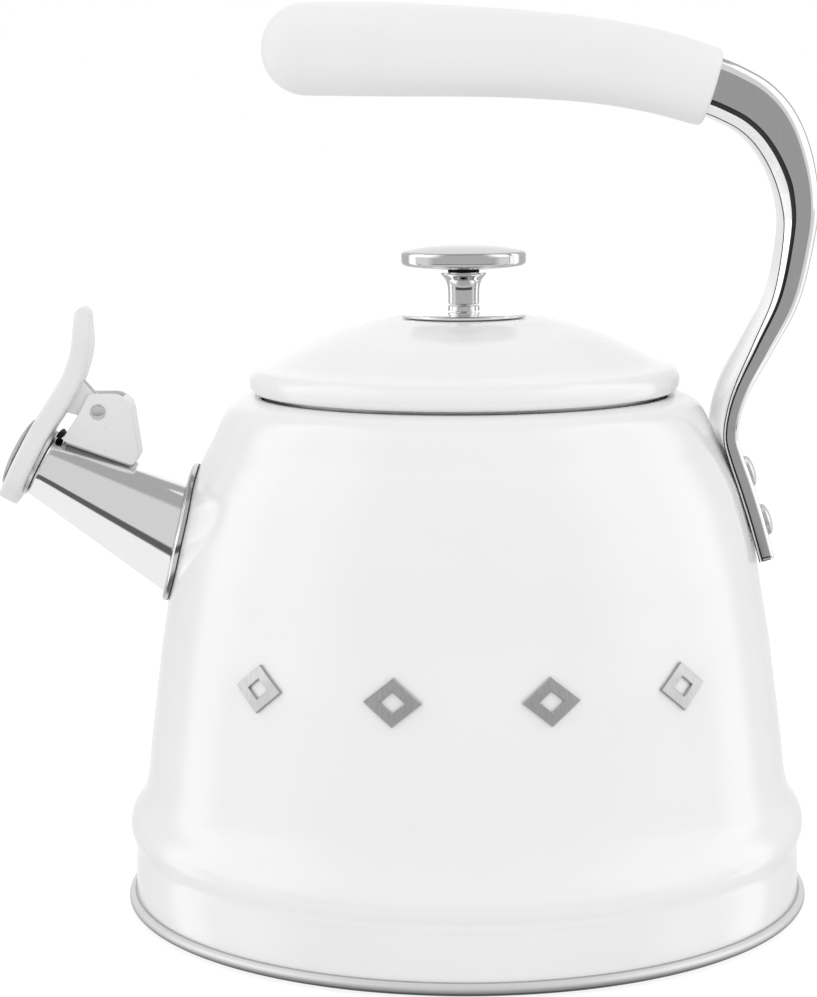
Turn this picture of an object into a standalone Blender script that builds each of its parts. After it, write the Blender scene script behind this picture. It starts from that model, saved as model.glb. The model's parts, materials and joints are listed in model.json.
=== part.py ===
"""Stovetop whistling kettle, as an assembly of separate pieces.

Frame: +Z up, origin at the centre of the base's flat bottom, on the kettle's axis.
The spout points to -X and the handle's arm is on the +X side. Lengths are in metres.
"""
import math

import bmesh
import bpy
from mathutils import Matrix, Vector

MM = 0.001
GAP = 0.3 * MM              # left between pieces that touch on the real kettle
MERGE = 0.01 * MM
ROUND = 40                  # segments of the large turned pieces
ROUND_SMALL = 16            # segments of pins, rivets and discs

# Base
BASE_EDGE_CENTRE = (93.5 * MM, 1.9 * MM)
BASE_EDGE_RADIUS = 1.9 * MM
BASE_PLATE = 0.9 * MM
CORE_RADIUS = 88.9 * MM
CORE_HEIGHT = 5.0 * MM

# Body
BODY_WALL = 0.8 * MM
FLOOR_Z = 6.5 * MM          # underside of the vessel's floor
SKIRT_RADIUS = 93.2 * MM
SKIRT_Z = 3.8 * MM          # bottom of the skirt, just over the base's rolled edge
SKIRT_CORNER = 1.0 * MM

# Lid and knob
LID_WALL = 0.9 * MM
LID_SEAT_Z = 163.0 * MM     # flat of the lid's crown, under the knob plate
SKIRT_RING_RADIUS = 55.2 * MM
KNOB_PLATE_RADIUS = 17.35 * MM
KNOB_HOLE_RADIUS = 2.3 * MM
KNOB_BASE_Z = 166.7 * MM

# Spout: a cone whose axis rises towards -X
SPOUT_TILT = math.radians(27.5)
SPOUT_AXIS = Vector((-math.cos(SPOUT_TILT), 0, math.sin(SPOUT_TILT)))
SPOUT_UP = Vector((math.sin(SPOUT_TILT), 0, math.cos(SPOUT_TILT)))
MOUTH = Vector((-117.5, 0, 122.8)) * MM
MOUTH_RADIUS = 8.74 * MM
SPOUT_TAPER = 0.166         # growth of the radius per unit of length, away from the mouth
SPOUT_LENGTH = 56 * MM
SPOUT_WALL = 0.9 * MM
COLLAR_RADIUS = 19.7 * MM
COLLAR_THICKNESS = 1.3 * MM
COLLAR_SLOPE = math.radians(14.5)

# Flap and its hinge
PIN = Vector((-101.0, 0, 138.0)) * MM
PIN_RADIUS = 1.2 * MM
PIN_HOLE_RADIUS = 1.45 * MM
FLAP_FACE = 1.4 * MM        # inner face of the flap, out from the mouth's plane
FLAP_THICKNESS = 5.4 * MM
FLAP_RADIUS = 13.6 * MM
FLAP_CENTRE_UP = 0.5 * MM
CHAMBER_RADIUS = 7.0 * MM
SEAT_RADIUS = 9.8 * MM      # the whistle's plate on the flap's inner face
BRACKET_HALF_WIDTH = 6.0 * MM
CHEEK = 1.9 * MM
BRACKET_FLOOR = 2.4 * MM    # its top above the spout's

# Handle
TANG_TIP_X = 26 * MM         # the arm's tang reaches this far into the grip
TANG_SHOULDER = 0.7 * MM    # from the grip's face to where the arm's full section starts
TANG_HALF_HEIGHT = 3.2 * MM
TANG_HALF_WIDTH = 4.5 * MM
CORE_SCALE = 0.56           # grip core against the grip's outline
RIVET_HEIGHTS = {"upper": 118.4 * MM, "lower": 104.6 * MM}
RIVET_SLOPE = math.radians(17.0)
RIVET_RADIUS = 2.4 * MM
RIVET_HOLE_RADIUS = 2.75 * MM
RIVET_HEAD_RADIUS = 4.45 * MM
STRAP_AT_RIVET = 4.6 * MM   # outer face of the arm above the body's wall, at a rivet

# Front appliques
BADGE_HEIGHT_Z = 73.0 * MM
BADGE_AZIMUTHS = (-39.5, -13.5, 13.5, 39.5)
BADGE_HALF_WIDTH = 7.6 * MM
BADGE_HALF_HEIGHT = 6.2 * MM
BADGE_THICKNESS = 0.7 * MM


# ---------------------------------------------------------------- scene and materials

def clear_scene():
    for item in list(bpy.data.objects):
        bpy.data.objects.remove(item, do_unlink=True)


clear_scene()
PARTS = bpy.data.collections.new("whistling_kettle")
CUTTERS = bpy.data.collections.new("cutters")
bpy.context.scene.collection.children.link(PARTS)
bpy.context.scene.collection.children.link(CUTTERS)


def material(name, colour, roughness, metallic):
    made = bpy.data.materials.new(name)
    made.use_nodes = True
    shader = made.node_tree.nodes["Principled BSDF"]
    shader.inputs["Base Color"].default_value = (*colour, 1)
    shader.inputs["Roughness"].default_value = roughness
    shader.inputs["Metallic"].default_value = metallic
    return made


ENAMEL = ("enamel", (0.87, 0.87, 0.86), 0.12, 0.0)
POLISHED = ("polished", (0.62, 0.62, 0.63), 0.08, 1.0)
BRUSHED = ("brushed", (0.45, 0.45, 0.46), 0.32, 1.0)
ALUMINIUM = ("aluminium", (0.75, 0.75, 0.76), 0.4, 1.0)
SOFT_TOUCH = ("soft_touch", (0.83, 0.83, 0.82), 0.55, 0.0)
WHITE_PLASTIC = ("white_plastic", (0.82, 0.82, 0.81), 0.35, 0.0)
NYLON = ("nylon", (0.3, 0.3, 0.3), 0.6, 0.0)


def finish_object(item, kind):
    """Give the object a material of its own and put it with the parts."""
    name, colour, roughness, metallic = kind
    item.data.materials.clear()
    item.data.materials.append(material(f"{item.name}_{name}", colour, roughness, metallic))
    PARTS.objects.link(item)
    return item


def keep_as_cutter(item):
    item.hide_render = True
    item.display_type = "WIRE"
    CUTTERS.objects.link(item)
    return item


# ---------------------------------------------------------------- curves in the plane

def smooth(points, steps=3):
    """A Catmull-Rom curve through points of any dimension, with `steps` pieces to a span."""
    points = [Vector(p) for p in points]
    padded = [2 * points[0] - points[1], *points, 2 * points[-1] - points[-2]]
    curve = []
    for a, b, c, d in zip(padded, padded[1:], padded[2:], padded[3:]):
        for step in range(steps):
            t = step / steps
            curve.append(0.5 * (2 * b + (c - a) * t + (2 * a - 5 * b + 4 * c - d) * t ** 2
                                + (3 * b - a - 3 * c + d) * t ** 3))
    return curve + [points[-1]]


def mm_points(*points):
    return [Vector(p) * MM for p in points]


def arc(centre, radius, start, end, steps=6):
    """Points on a circle, angles in degrees."""
    angles = [math.radians(start + (end - start) * i / steps) for i in range(steps + 1)]
    return [Vector((centre[0] + radius * math.cos(a), centre[1] + radius * math.sin(a)))
            for a in angles]


# ---------------------------------------------------------------- solids

def mesh_from(name, vertices, edges=(), faces=()):
    mesh = bpy.data.meshes.new(name)
    mesh.from_pydata([tuple(v) for v in vertices], list(edges), list(faces))
    return bpy.data.objects.new(name, mesh)


def aim(item, origin, direction):
    """Put the object's own +Z along direction, with its own +Y kept on the world's."""
    direction = Vector(direction).normalized()
    side = Vector((0, 1, 0))
    if abs(direction.y) > 0.9:
        side = Vector((0, 0, 1))
    across = side.cross(direction).normalized()
    side = direction.cross(across)
    turn = Matrix((across, side, direction)).transposed()
    item.matrix_world = Matrix.Translation(origin) @ turn.to_4x4()
    return item


def turned(name, outline, closed=False, wall=0.0, segments=ROUND):
    """Turn an (r, z) outline about Z. It runs down the piece's outer side."""
    count = len(outline)
    edges = [(i, i + 1) for i in range(count - 1)]
    if closed:
        edges.append((count - 1, 0))
    item = mesh_from(name, [(r, 0, z) for r, z in outline], edges)
    screw = item.modifiers.new("turn", "SCREW")
    screw.steps = screw.render_steps = segments
    screw.use_merge_vertices = True
    screw.merge_threshold = MERGE
    screw.use_smooth_shade = True
    if wall:
        thicken = item.modifiers.new("wall", "SOLIDIFY")
        thicken.thickness = wall
        thicken.offset = -1
        thicken.use_even_offset = True
    return item


def disc(name, radius, low, high, hole=0.0, segments=ROUND_SMALL):
    """A washer or a plain disc about Z."""
    if hole:
        return turned(name, [(hole, high), (radius, high), (radius, low), (hole, low)],
                      closed=True, segments=segments)
    return turned(name, [(0, high), (radius, high), (radius, low), (0, low)], segments=segments)


def extruded(name, outline, half_width):
    """A flat (x, z) outline, extruded both ways along Y."""
    curve = bpy.data.curves.new(name, "CURVE")
    curve.dimensions = "2D"
    curve.fill_mode = "BOTH"
    curve.extrude = half_width
    spline = curve.splines.new("POLY")
    spline.points.add(len(outline) - 1)
    for point, (x, z) in zip(spline.points, outline):
        point.co = (x, z, 0, 1)
    spline.use_cyclic_u = True
    guide = bpy.data.objects.new(name, curve)
    bpy.context.scene.collection.objects.link(guide)
    bpy.context.view_layer.update()
    graph = bpy.context.evaluated_depsgraph_get()
    mesh = bpy.data.meshes.new_from_object(guide.evaluated_get(graph))
    bpy.data.objects.remove(guide)
    weld_and_stand(mesh)
    return bpy.data.objects.new(name, mesh)


def weld_and_stand(mesh):
    """Close the caps and stand a flat extrusion up: its local Y becomes the world's Z."""
    work = bmesh.new()
    work.from_mesh(mesh)
    bmesh.ops.remove_doubles(work, verts=work.verts, dist=MERGE)
    bmesh.ops.transform(work, matrix=Matrix.Rotation(math.radians(90), 4, "X"), verts=work.verts)
    bmesh.ops.recalc_face_normals(work, faces=work.faces)
    work.to_mesh(mesh)
    work.free()


def loft(name, rings):
    """A closed solid through rings of equal length."""
    count = len(rings[0])
    vertices = [point for ring in rings for point in ring]
    faces = [list(range(count))]
    for row in range(len(rings) - 1):
        for i in range(count):
            j = (i + 1) % count
            faces.append([row * count + i, (row + 1) * count + i,
                          (row + 1) * count + j, row * count + j])
    faces.append([(len(rings) - 1) * count + i for i in reversed(range(count))])
    item = mesh_from(name, vertices, faces=faces)
    work = bmesh.new()
    work.from_mesh(item.data)
    bmesh.ops.recalc_face_normals(work, faces=work.faces)
    work.to_mesh(item.data)
    work.free()
    return item


def combine(item, operation, *cutters):
    for cutter in cutters:
        if cutter.name not in CUTTERS.objects:
            keep_as_cutter(cutter)
        step = item.modifiers.new(f"{operation.lower()}_{cutter.name}", "BOOLEAN")
        step.operation = operation
        step.solver = "EXACT"
        step.object = cutter
    return item


def cut(item, *cutters):
    return combine(item, "DIFFERENCE", *cutters)


def keep_inside(item, *cutters):
    return combine(item, "INTERSECT", *cutters)


def join(item, *others):
    return combine(item, "UNION", *others)


def soften(item, width, segments=2, limit=40):
    """Round the sharp edges that are there before any cut."""
    bevel = item.modifiers.new("edges", "BEVEL")
    bevel.width = width
    bevel.segments = segments
    bevel.limit_method = "ANGLE"
    bevel.angle_limit = math.radians(limit)
    return item


# ---------------------------------------------------------------- the vessel's outline

def wall_outline():
    """Outer (r, z) of the vessel from its rim down to the skirt's bottom edge."""
    shoulder = mm_points((58.4, 142.2), (62.2, 140.9), (65.4, 138.4), (68.3, 132.9), (71.8, 126.1),
                         (74.6, 119.5), (77.6, 110.4), (80.0, 100.5), (82.0, 90.0), (84.1, 78.0),
                         (85.9, 65.2), (88.5, 43.5))
    bead = mm_points((89.5, 35.6), (91.3, 30.2), (93.9, 25.8), (94.45, 23.0), (94.0, 20.6), (93.1, 17.0))
    corner = arc((SKIRT_RADIUS - SKIRT_CORNER, SKIRT_Z + SKIRT_CORNER), SKIRT_CORNER, 0, -90, steps=2)
    return shoulder + bead + corner


def wall_radius(height):
    """Outer radius of the vessel at a height."""
    outline = wall_outline()
    for (r1, z1), (r2, z2) in zip(outline, outline[1:]):
        if z2 <= height <= z1:
            return r1 + (r2 - r1) * (z1 - height) / (z1 - z2)
    raise ValueError("height is outside the wall")


def offset_outline(outline, distance):
    """The same outline, moved out along its normals."""
    moved = []
    for i, point in enumerate(outline):
        before = outline[max(i - 1, 0)]
        after = outline[min(i + 1, len(outline) - 1)]
        run = (after - before).normalized()
        moved.append(point + Vector((-run[1], run[0])) * distance)
    return moved


def wall_layer(name, inner, outer, low, high):
    """A thin turned layer that lies outside the vessel's wall, between two heights."""
    outline = [p for p in wall_outline() if low < p[1] < high]
    return turned(name, offset_outline(outline, outer) + offset_outline(outline, inner)[::-1],
                  closed=True)


# ---------------------------------------------------------------- base and vessel

def make_base():
    ring = arc(BASE_EDGE_CENTRE, BASE_EDGE_RADIUS, 211.8, -90, steps=9)
    cap = turned("base_cap", [(0, BASE_PLATE), *ring, (0, 0)])
    finish_object(cap, POLISHED)
    low = BASE_PLATE + GAP
    finish_object(disc("base_core", CORE_RADIUS, low, low + CORE_HEIGHT, segments=ROUND), ALUMINIUM)


def spout_cone(name, extra, start, end):
    """A solid cone on the spout's axis, `extra` larger than the spout's outside."""
    outline = [(0, -start), (MOUTH_RADIUS + extra + SPOUT_TAPER * start, -start),
               (MOUTH_RADIUS + extra + SPOUT_TAPER * end, -end), (0, -end)]
    cone = turned(name, outline, segments=32)
    return aim(keep_as_cutter(cone), MOUTH, SPOUT_AXIS)


def rivet_frame(height):
    """A point on the vessel's outside at y = 0, and the wall's outward direction there."""
    point = Vector((wall_radius(height), 0, height))
    return point, Vector((math.cos(RIVET_SLOPE), 0, math.sin(RIVET_SLOPE)))


def rivet_holes(name, radius):
    holes = []
    for place, height in RIVET_HEIGHTS.items():
        point, outward = rivet_frame(height)
        hole = disc(f"{name}_{place}", radius, -12 * MM, 12 * MM)
        holes.append(aim(keep_as_cutter(hole), point, outward))
    return holes


def make_vessel():
    neck = mm_points((56.0, 135.5), (56.0, 140.4), (56.8, 141.8))
    body = turned("body_shell", [*neck, *wall_outline()], wall=BODY_WALL)
    cut(body, spout_cone("spout_hole", GAP, 20 * MM, 75 * MM), *rivet_holes("wall_hole", RIVET_HOLE_RADIUS))
    finish_object(body, ENAMEL)
    floor_radius = SKIRT_RADIUS - BODY_WALL - 2 * GAP
    finish_object(disc("vessel_floor", floor_radius, FLOOR_Z, FLOOR_Z + BODY_WALL, segments=ROUND), ENAMEL)


# ---------------------------------------------------------------- spout

def make_spout():
    def radius(depth):
        return MOUTH_RADIUS + SPOUT_TAPER * depth
    lip = 1.6 * MM
    outer = [Vector((MOUTH_RADIUS - SPOUT_WALL, 0)), Vector((MOUTH_RADIUS + 0.25 * MM, 0)),
             Vector((MOUTH_RADIUS + 0.45 * MM, -lip / 2)), Vector((radius(lip), -lip)),
             Vector((radius(SPOUT_LENGTH / 2), -SPOUT_LENGTH / 2)),
             Vector((radius(SPOUT_LENGTH), -SPOUT_LENGTH))]
    inner = [Vector((radius(SPOUT_LENGTH) - SPOUT_WALL, -SPOUT_LENGTH)),
             Vector((radius(SPOUT_LENGTH / 2) - SPOUT_WALL, -SPOUT_LENGTH / 2))]
    tube = aim(turned("spout_tube", outer + inner, closed=True, segments=32), MOUTH, SPOUT_AXIS)
    inside = [(0, 128 * MM), *offset_outline(
        [p for p in wall_outline() if 60 * MM < p[1] < 128 * MM], -2.6 * MM), (0, 60 * MM)]
    cut(tube, turned("spout_root", inside), *bracket_rivet_hole("tube_rivet_hole"))
    finish_object(tube, POLISHED)

    collar = wall_layer("spout_collar", GAP, GAP + COLLAR_THICKNESS, 75 * MM, 130 * MM)
    centre_z = MOUTH.z - 41.2 * MM * SPOUT_AXIS.z
    wall_out = Vector((-math.cos(COLLAR_SLOPE), 0, math.sin(COLLAR_SLOPE)))
    rim = aim(disc("collar_rim", COLLAR_RADIUS, -20 * MM, 20 * MM, segments=ROUND),
              (-wall_radius(centre_z), 0, centre_z), wall_out)
    keep_inside(collar, rim)
    cut(collar, spout_cone("collar_hole", GAP, 20 * MM, 76 * MM))
    finish_object(collar, POLISHED)


def on_spout(out, up):
    """A point in the plane y = 0, from the mouth's centre."""
    return MOUTH + SPOUT_AXIS * out + SPOUT_UP * up


def above_spout(depth, height):
    """A point over the spout's top line, `depth` in from the mouth."""
    return on_spout(-depth, MOUTH_RADIUS + SPOUT_TAPER * depth + height)


def bracket_rivet_place():
    """Top of the spout under the hinge, and the tube's outward direction there."""
    slope = math.atan(SPOUT_TAPER)
    outward = SPOUT_UP * math.cos(slope) + SPOUT_AXIS * math.sin(slope)
    return above_spout(16 * MM, 0), outward


def bracket_rivet_hole(name):
    point, outward = bracket_rivet_place()
    hole = disc(name, 1.5 * MM, -4 * MM, 9 * MM, segments=12)
    return [aim(keep_as_cutter(hole), point, outward)]


def make_bracket():
    outline = mm_points((-103.4, 142.9), (-106.6, 137.2), (-111.0, 130.6), (-110.4, 129.8),
                        (-92.4, 123.3), (-91.2, 123.9), (-90.0, 125.9), (-91.7, 138.6), (-93.5, 141.3),
                        (-96.5, 142.9))
    bracket = extruded("hinge_bracket", outline, BRACKET_HALF_WIDTH)
    soften(bracket, 0.5 * MM, segments=1)
    # A pad between the cheeks stands on the spout; the cheeks stop just above it.
    inner_half = BRACKET_HALF_WIDTH - CHEEK
    pad = mm_points((-109.4, 131.0), (-110.4, 126.0), (-92.0, 120.0), (-91.4, 126.0))
    join(bracket, extruded("bracket_pad", pad, inner_half))
    # The channel is open towards the flap and stops at an end wall towards the vessel.
    floor = [above_spout(depth, BRACKET_FLOOR) for depth in (-8 * MM, 19.5 * MM)]
    roof = mm_points((-94.6, 150.0), (-128.0, 150.0))
    channel = extruded("bracket_channel", [(p.x, p.z) for p in floor] + [(x, z) for x, z in roof], inner_half)
    bore = aim(disc("bracket_bore", PIN_HOLE_RADIUS, -12 * MM, 12 * MM), PIN, (0, -1, 0))
    recesses = [aim(disc(f"pin_recess_{side}", 2.3 * MM, 5.2 * MM, 9 * MM), PIN, (0, sign, 0))
                for side, sign in (("near", -1), ("far", 1))]
    cut(bracket, channel, spout_cone("bracket_seat", GAP, -10 * MM, 60 * MM), bore, *recesses,
        *bracket_rivet_hole("bracket_rivet_hole"))
    finish_object(bracket, WHITE_PLASTIC)

    point, outward = bracket_rivet_place()
    shank = 1.2 * MM
    floor_top = BRACKET_FLOOR
    rivet = turned("bracket_rivet", [(0, floor_top + 1.5 * MM), (1.6 * MM, floor_top + 1.3 * MM),
                                     (2.5 * MM, floor_top + 0.3 * MM), (shank, floor_top + 0.3 * MM),
                                     (shank, -1.5 * MM), (2.0 * MM, -1.5 * MM),
                                     (1.6 * MM, -2.3 * MM), (0, -2.5 * MM)], segments=12)
    finish_object(aim(rivet, point, outward), POLISHED)

    half = BRACKET_HALF_WIDTH - 0.35 * MM
    head = 1.85 * MM
    pin = turned("hinge_pin", [(0, half), (head - 0.3 * MM, half), (head, half - 0.25 * MM),
                               (head, half - 0.45 * MM), (PIN_RADIUS, half - 0.45 * MM),
                               (PIN_RADIUS, 0.45 * MM - half), (head, 0.45 * MM - half),
                               (head, 0.25 * MM - half), (head - 0.3 * MM, -half), (0, -half)],
                 segments=16)
    finish_object(aim(pin, PIN, (0, -1, 0)), POLISHED)


# ---------------------------------------------------------------- flap and whistle

def flap_side():
    """The flap seen from the side, as (out, up) from the mouth's centre."""
    outer = smooth(mm_points((6.8, -10.5), (6.8, 10.8), (6.0, 20.0), (5.65, 26.0), (6.9, 33.9),
                             (9.9, 41.0)), steps=3)
    tip = mm_points((9.9, 43.6), (8.4, 45.2), (6.7, 44.4))
    inner = smooth(mm_points((5.2, 41.4), (2.1, 35.6), (0.2, 27.5), (0.3, 19.0), (1.4, 9.0),
                             (1.4, -12.6)), steps=3)
    foot = mm_points((2.6, -13.6), (5.2, -13.2))
    return [outer, tip, inner, foot]


def flat_outline(*runs):
    return [(p.x, p.z) for p in (on_spout(out, up) for run in runs for out, up in run)]


def make_flap():
    lever = extruded("flap_lever", flat_outline(*flap_side()), FLAP_RADIUS + 2 * MM)
    # Seen square on, the flap is a disc that runs up into the narrower finger tab.
    disc_part = [Vector((FLAP_RADIUS * math.sin(a), FLAP_CENTRE_UP + FLAP_RADIUS * math.cos(a)))
                 for a in (math.radians(d) for d in range(45, 316, 15))]
    shank = mm_points((-8.0, 17.0), (-7.4, 28.0), (-7.8, 38.0), (-6.0, 43.0), (-2.5, 46.5),
                      (2.5, 46.5), (6.0, 43.0), (7.8, 38.0), (7.4, 28.0), (8.0, 17.0))
    face = extruded("flap_face", disc_part + shank, 30 * MM)
    face.matrix_world = (Matrix.Translation(MOUTH)
                         @ Matrix((Vector((0, 1, 0)), -SPOUT_AXIS, SPOUT_UP)).transposed().to_4x4())
    keep_inside(lever, face)

    ear_top = [Vector((PIN.x + 3.2 * MM * math.cos(a), PIN.z + 3.2 * MM * math.sin(a)))
               for a in (math.radians(d) for d in range(-70, 91, 20))]
    root = [Vector((p.x, p.z)) for p in (on_spout(2.0 * MM, 27.0 * MM), on_spout(2.0 * MM, 16.5 * MM))]
    for side, sign in (("near", -1), ("far", 1)):
        ear = extruded(f"ear_{side}", ear_top + root, 0.75 * MM)
        ear.location.y = sign * 3.0 * MM
        join(lever, ear)
    bore = aim(disc("lever_bore", PIN_HOLE_RADIUS, -12 * MM, 12 * MM), PIN, (0, -1, 0))
    chamber = aim(disc("whistle_chamber", CHAMBER_RADIUS, -4 * MM, 14 * MM),
                  on_spout(0, FLAP_CENTRE_UP), SPOUT_AXIS)
    cut(lever, bore, chamber)
    finish_object(lever, WHITE_PLASTIC)

    outer_face = FLAP_FACE + FLAP_THICKNESS
    hole = 1.6 * MM
    cap = turned("whistle_cap", [(hole, 1.2 * MM), (5.0 * MM, 0.9 * MM), (9.4 * MM, 0.1 * MM),
                                 (9.9 * MM, -0.1 * MM), (9.9 * MM, -0.6 * MM), (6.4 * MM, -0.6 * MM),
                                 (6.4 * MM, -3.0 * MM), (5.6 * MM, -3.0 * MM), (5.4 * MM, -0.4 * MM),
                                 (hole, 0.3 * MM)], closed=True, segments=20)
    finish_object(aim(cap, on_spout(outer_face + 0.9 * MM, FLAP_CENTRE_UP), SPOUT_AXIS), POLISHED)
    seat = turned("whistle_seat", [(hole, 0.75 * MM), (5.2 * MM, 1.9 * MM), (6.4 * MM, 1.9 * MM),
                                   (6.6 * MM, 0.8 * MM), (SEAT_RADIUS, 0.8 * MM), (SEAT_RADIUS, 0),
                                   (6.0 * MM, 0), (5.0 * MM, 0.9 * MM), (hole, 0)],
                  closed=True, segments=20)
    finish_object(aim(seat, on_spout(GAP, FLAP_CENTRE_UP), SPOUT_AXIS), POLISHED)


def make_spring():
    """Torsion spring on the pin, with a leg against the flap and a leg on the bracket."""
    coil_radius = 2.25 * MM
    turns = 3.5
    pitch = 0.85 * MM
    per_turn = 10
    start = math.radians(205)
    count = int(turns * per_turn)
    first = -pitch * turns / 2
    coil = []
    for i in range(count + 1):
        angle = start - 2 * math.pi * i / per_turn
        coil.append(Vector((PIN.x + coil_radius * math.cos(angle), first + pitch * i / per_turn,
                            PIN.z + coil_radius * math.sin(angle))))
    flap_leg = on_spout(-0.75 * MM, 19.2 * MM)
    flap_leg.y = first
    floor_leg = above_spout(12 * MM, BRACKET_FLOOR + 0.8 * MM)
    floor_leg.y = -first
    points = [flap_leg, *coil, floor_leg]
    curve = bpy.data.curves.new("hinge_spring", "CURVE")
    curve.dimensions = "3D"
    curve.bevel_depth = 0.33 * MM
    curve.bevel_resolution = 1
    curve.use_fill_caps = True
    spline = curve.splines.new("POLY")
    spline.points.add(len(points) - 1)
    for point, place in zip(spline.points, points):
        point.co = (*place, 1)
    finish_object(bpy.data.objects.new("hinge_spring", curve), BRUSHED)


# ---------------------------------------------------------------- handle

def strap_stations():
    """The arm from the grip to its lower end: x, z, thickness, width, outer crown, inner hollow."""
    return smooth(mm_points(
        (69.3, 224.5, 15.2, 17.5, 0.6, -0.5), (78.5, 220.2, 14.8, 17.5, 0.6, -0.5),
        (84.4, 213.6, 14.2, 17.5, 0.6, -0.5), (89.4, 204.6, 12.0, 17.5, 0.6, -0.4),
        (91.4, 194.4, 10.2, 18.0, 0.6, -0.2), (91.2, 184.6, 8.6, 18.5, 0.6, 0.0),
        (87.7, 168.4, 7.2, 20.5, 0.7, 0.2), (81.2, 155.6, 5.8, 27.0, 0.8, 0.8),
        (75.2, 144.8, 4.5, 34.0, 0.9, 1.4), (72.3, 137.2, 4.0, 36.0, 0.9, 1.8),
        (71.3, 130.4, 4.0, 36.0, 0.9, 2.0), (73.2, 125.6, 4.2, 36.0, 0.9, 2.1),
        (76.1, 117.4, 4.4, 36.0, 0.9, 2.1), (79.1, 108.0, 4.3, 36.0, 0.9, 2.1),
        (80.9, 101.4, 4.2, 35.5, 0.9, 2.0), (81.8, 98.2, 4.0, 28.0, 0.6, 1.3)), steps=1)


def oval_ring(centre, across, out, width, thickness, crown=0.0, hollow=0.0, squareness=0.62, count=16):
    """A rounded section with its two broad faces bent by a crown and a hollow."""
    ring = []
    for i in range(count):
        angle = 2 * math.pi * (i + 0.5) / count
        c, s = math.cos(angle), math.sin(angle)
        along = math.copysign(abs(c) ** squareness, c)
        lift = math.copysign(abs(s) ** squareness, s)
        bend = (crown if s > 0 else hollow) * abs(lift) * (1 - along ** 2)
        ring.append(centre + across * (along * width / 2) + out * (lift * thickness / 2 + bend))
    return ring


def frames_along(spine):
    """Direction of the curve at each of its points, in the plane y = 0."""
    runs = []
    for i in range(len(spine)):
        before = spine[max(i - 1, 0)]
        after = spine[min(i + 1, len(spine) - 1)]
        runs.append((after - before).normalized())
    return runs


Y_AXIS = Vector((0, 1, 0))


def make_strap():
    tang = tang_path()
    rings = [oval_ring(centre, Y_AXIS, run.cross(Y_AXIS), 2 * TANG_HALF_WIDTH, 2 * TANG_HALF_HEIGHT)
             for centre, run in tang]
    stations = strap_stations()
    spine = [Vector((s[0], 0, s[1])) for s in stations]
    runs = frames_along(spine)
    runs[0] = tang[-1][1]
    for station, centre, run in zip(stations, spine, runs):
        rings.append(oval_ring(centre, Y_AXIS, run.cross(Y_AXIS), station[3], station[2], station[4],
                               station[5], squareness=0.55))
    strap = loft("handle_strap", rings)
    cut(strap, *rivet_holes("strap_hole", RIVET_HOLE_RADIUS), tang_pin_hole("tang_hole", 1.8 * MM))
    finish_object(strap, POLISHED)


def grip_spine():
    """The grip's (x, z, height, width) from the last full section at its left end to its face."""
    return smooth(mm_points((-42.5, 236.3, 25.0, 25.0), (-21.0, 236.05, 25.3, 25.4),
                            (4.4, 235.15, 24.1, 24.6), (21.0, 234.1, 23.4, 23.8),
                            (36.5, 232.5, 22.8, 23.0), (52.3, 229.6, 22.3, 22.4),
                            (68.3, 224.9, 21.4, 21.6)), steps=1)


def grip_rings(scale, start_inset, end_inset, rounding):
    stations = grip_spine()
    spine = [Vector((s[0], 0, s[1])) for s in stations]
    runs = frames_along(spine)
    rings = []
    first = stations[0]
    length = 12.4 * MM - start_inset
    for degrees in (80, 60, 40, 20):
        angle = math.radians(degrees)
        centre = spine[0] - Vector((length * math.sin(angle), 0, 0))
        size = math.cos(angle)
        rings.append(oval_ring(centre, Y_AXIS, Vector((0, 0, 1)), first[3] * scale * size,
                               first[2] * scale * size, squareness=0.85))
    for station, centre, run in zip(stations, spine, runs):
        out = run.cross(Y_AXIS)
        rings.append(oval_ring(centre, Y_AXIS, out, station[3] * scale, station[2] * scale, squareness=0.85))
    end = spine[-1]
    out = runs[-1].cross(Y_AXIS)
    last = stations[-1]
    rings[-1] = oval_ring(end - runs[-1] * (end_inset + rounding), Y_AXIS, out, last[3] * scale,
                          last[2] * scale, squareness=0.85)
    rings.append(oval_ring(end - runs[-1] * end_inset, Y_AXIS, out, last[3] * scale - 2 * rounding,
                           last[2] * scale - 2 * rounding, squareness=0.85))
    return rings


def tang_path(extra=0.0):
    """Points and directions down the grip's middle, from the tang's tip to the arm's shoulder."""
    stations = grip_spine()
    spine = [Vector((s[0], 0, s[1])) for s in stations]
    path = [(p, run) for p, run in zip(spine, frames_along(spine)) if p.x > TANG_TIP_X]
    tip, tip_run = path[0]
    face, face_run = path[-1]
    path[0] = (tip - tip_run * extra, tip_run)
    return path + [(face + face_run * (TANG_SHOULDER + 10 * extra), face_run)]


def tang_pin_hole(name, radius):
    centre = tang_path()[1][0]
    hole = disc(name, radius, -15 * MM, 15 * MM, segments=12)
    return aim(keep_as_cutter(hole), centre, (0, -1, 0))


def make_grip():
    grip = loft("grip", grip_rings(1.0, 0, 0.5 * MM, 1.1 * MM))
    pocket = loft("grip_pocket", grip_rings(CORE_SCALE + 0.03, 2.0 * MM, -3 * MM, 0.05 * MM))
    cut(grip, keep_as_cutter(pocket))
    finish_object(grip, SOFT_TOUCH)

    core = loft("grip_core", grip_rings(CORE_SCALE, 3.0 * MM, 1.0 * MM, 0.4 * MM))
    slot = loft("tang_slot", [oval_ring(place, Y_AXIS, run.cross(Y_AXIS), 2 * (TANG_HALF_WIDTH + GAP),
                                        2 * (TANG_HALF_HEIGHT + GAP)) for place, run in tang_path(GAP)])
    cut(core, keep_as_cutter(slot), tang_pin_hole("core_hole", 1.8 * MM))
    finish_object(core, NYLON)

    pin = disc("tang_pin", 1.5 * MM, -5.6 * MM, 5.6 * MM, segments=12)
    finish_object(aim(pin, tang_path()[1][0], (0, -1, 0)), BRUSHED)


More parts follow.
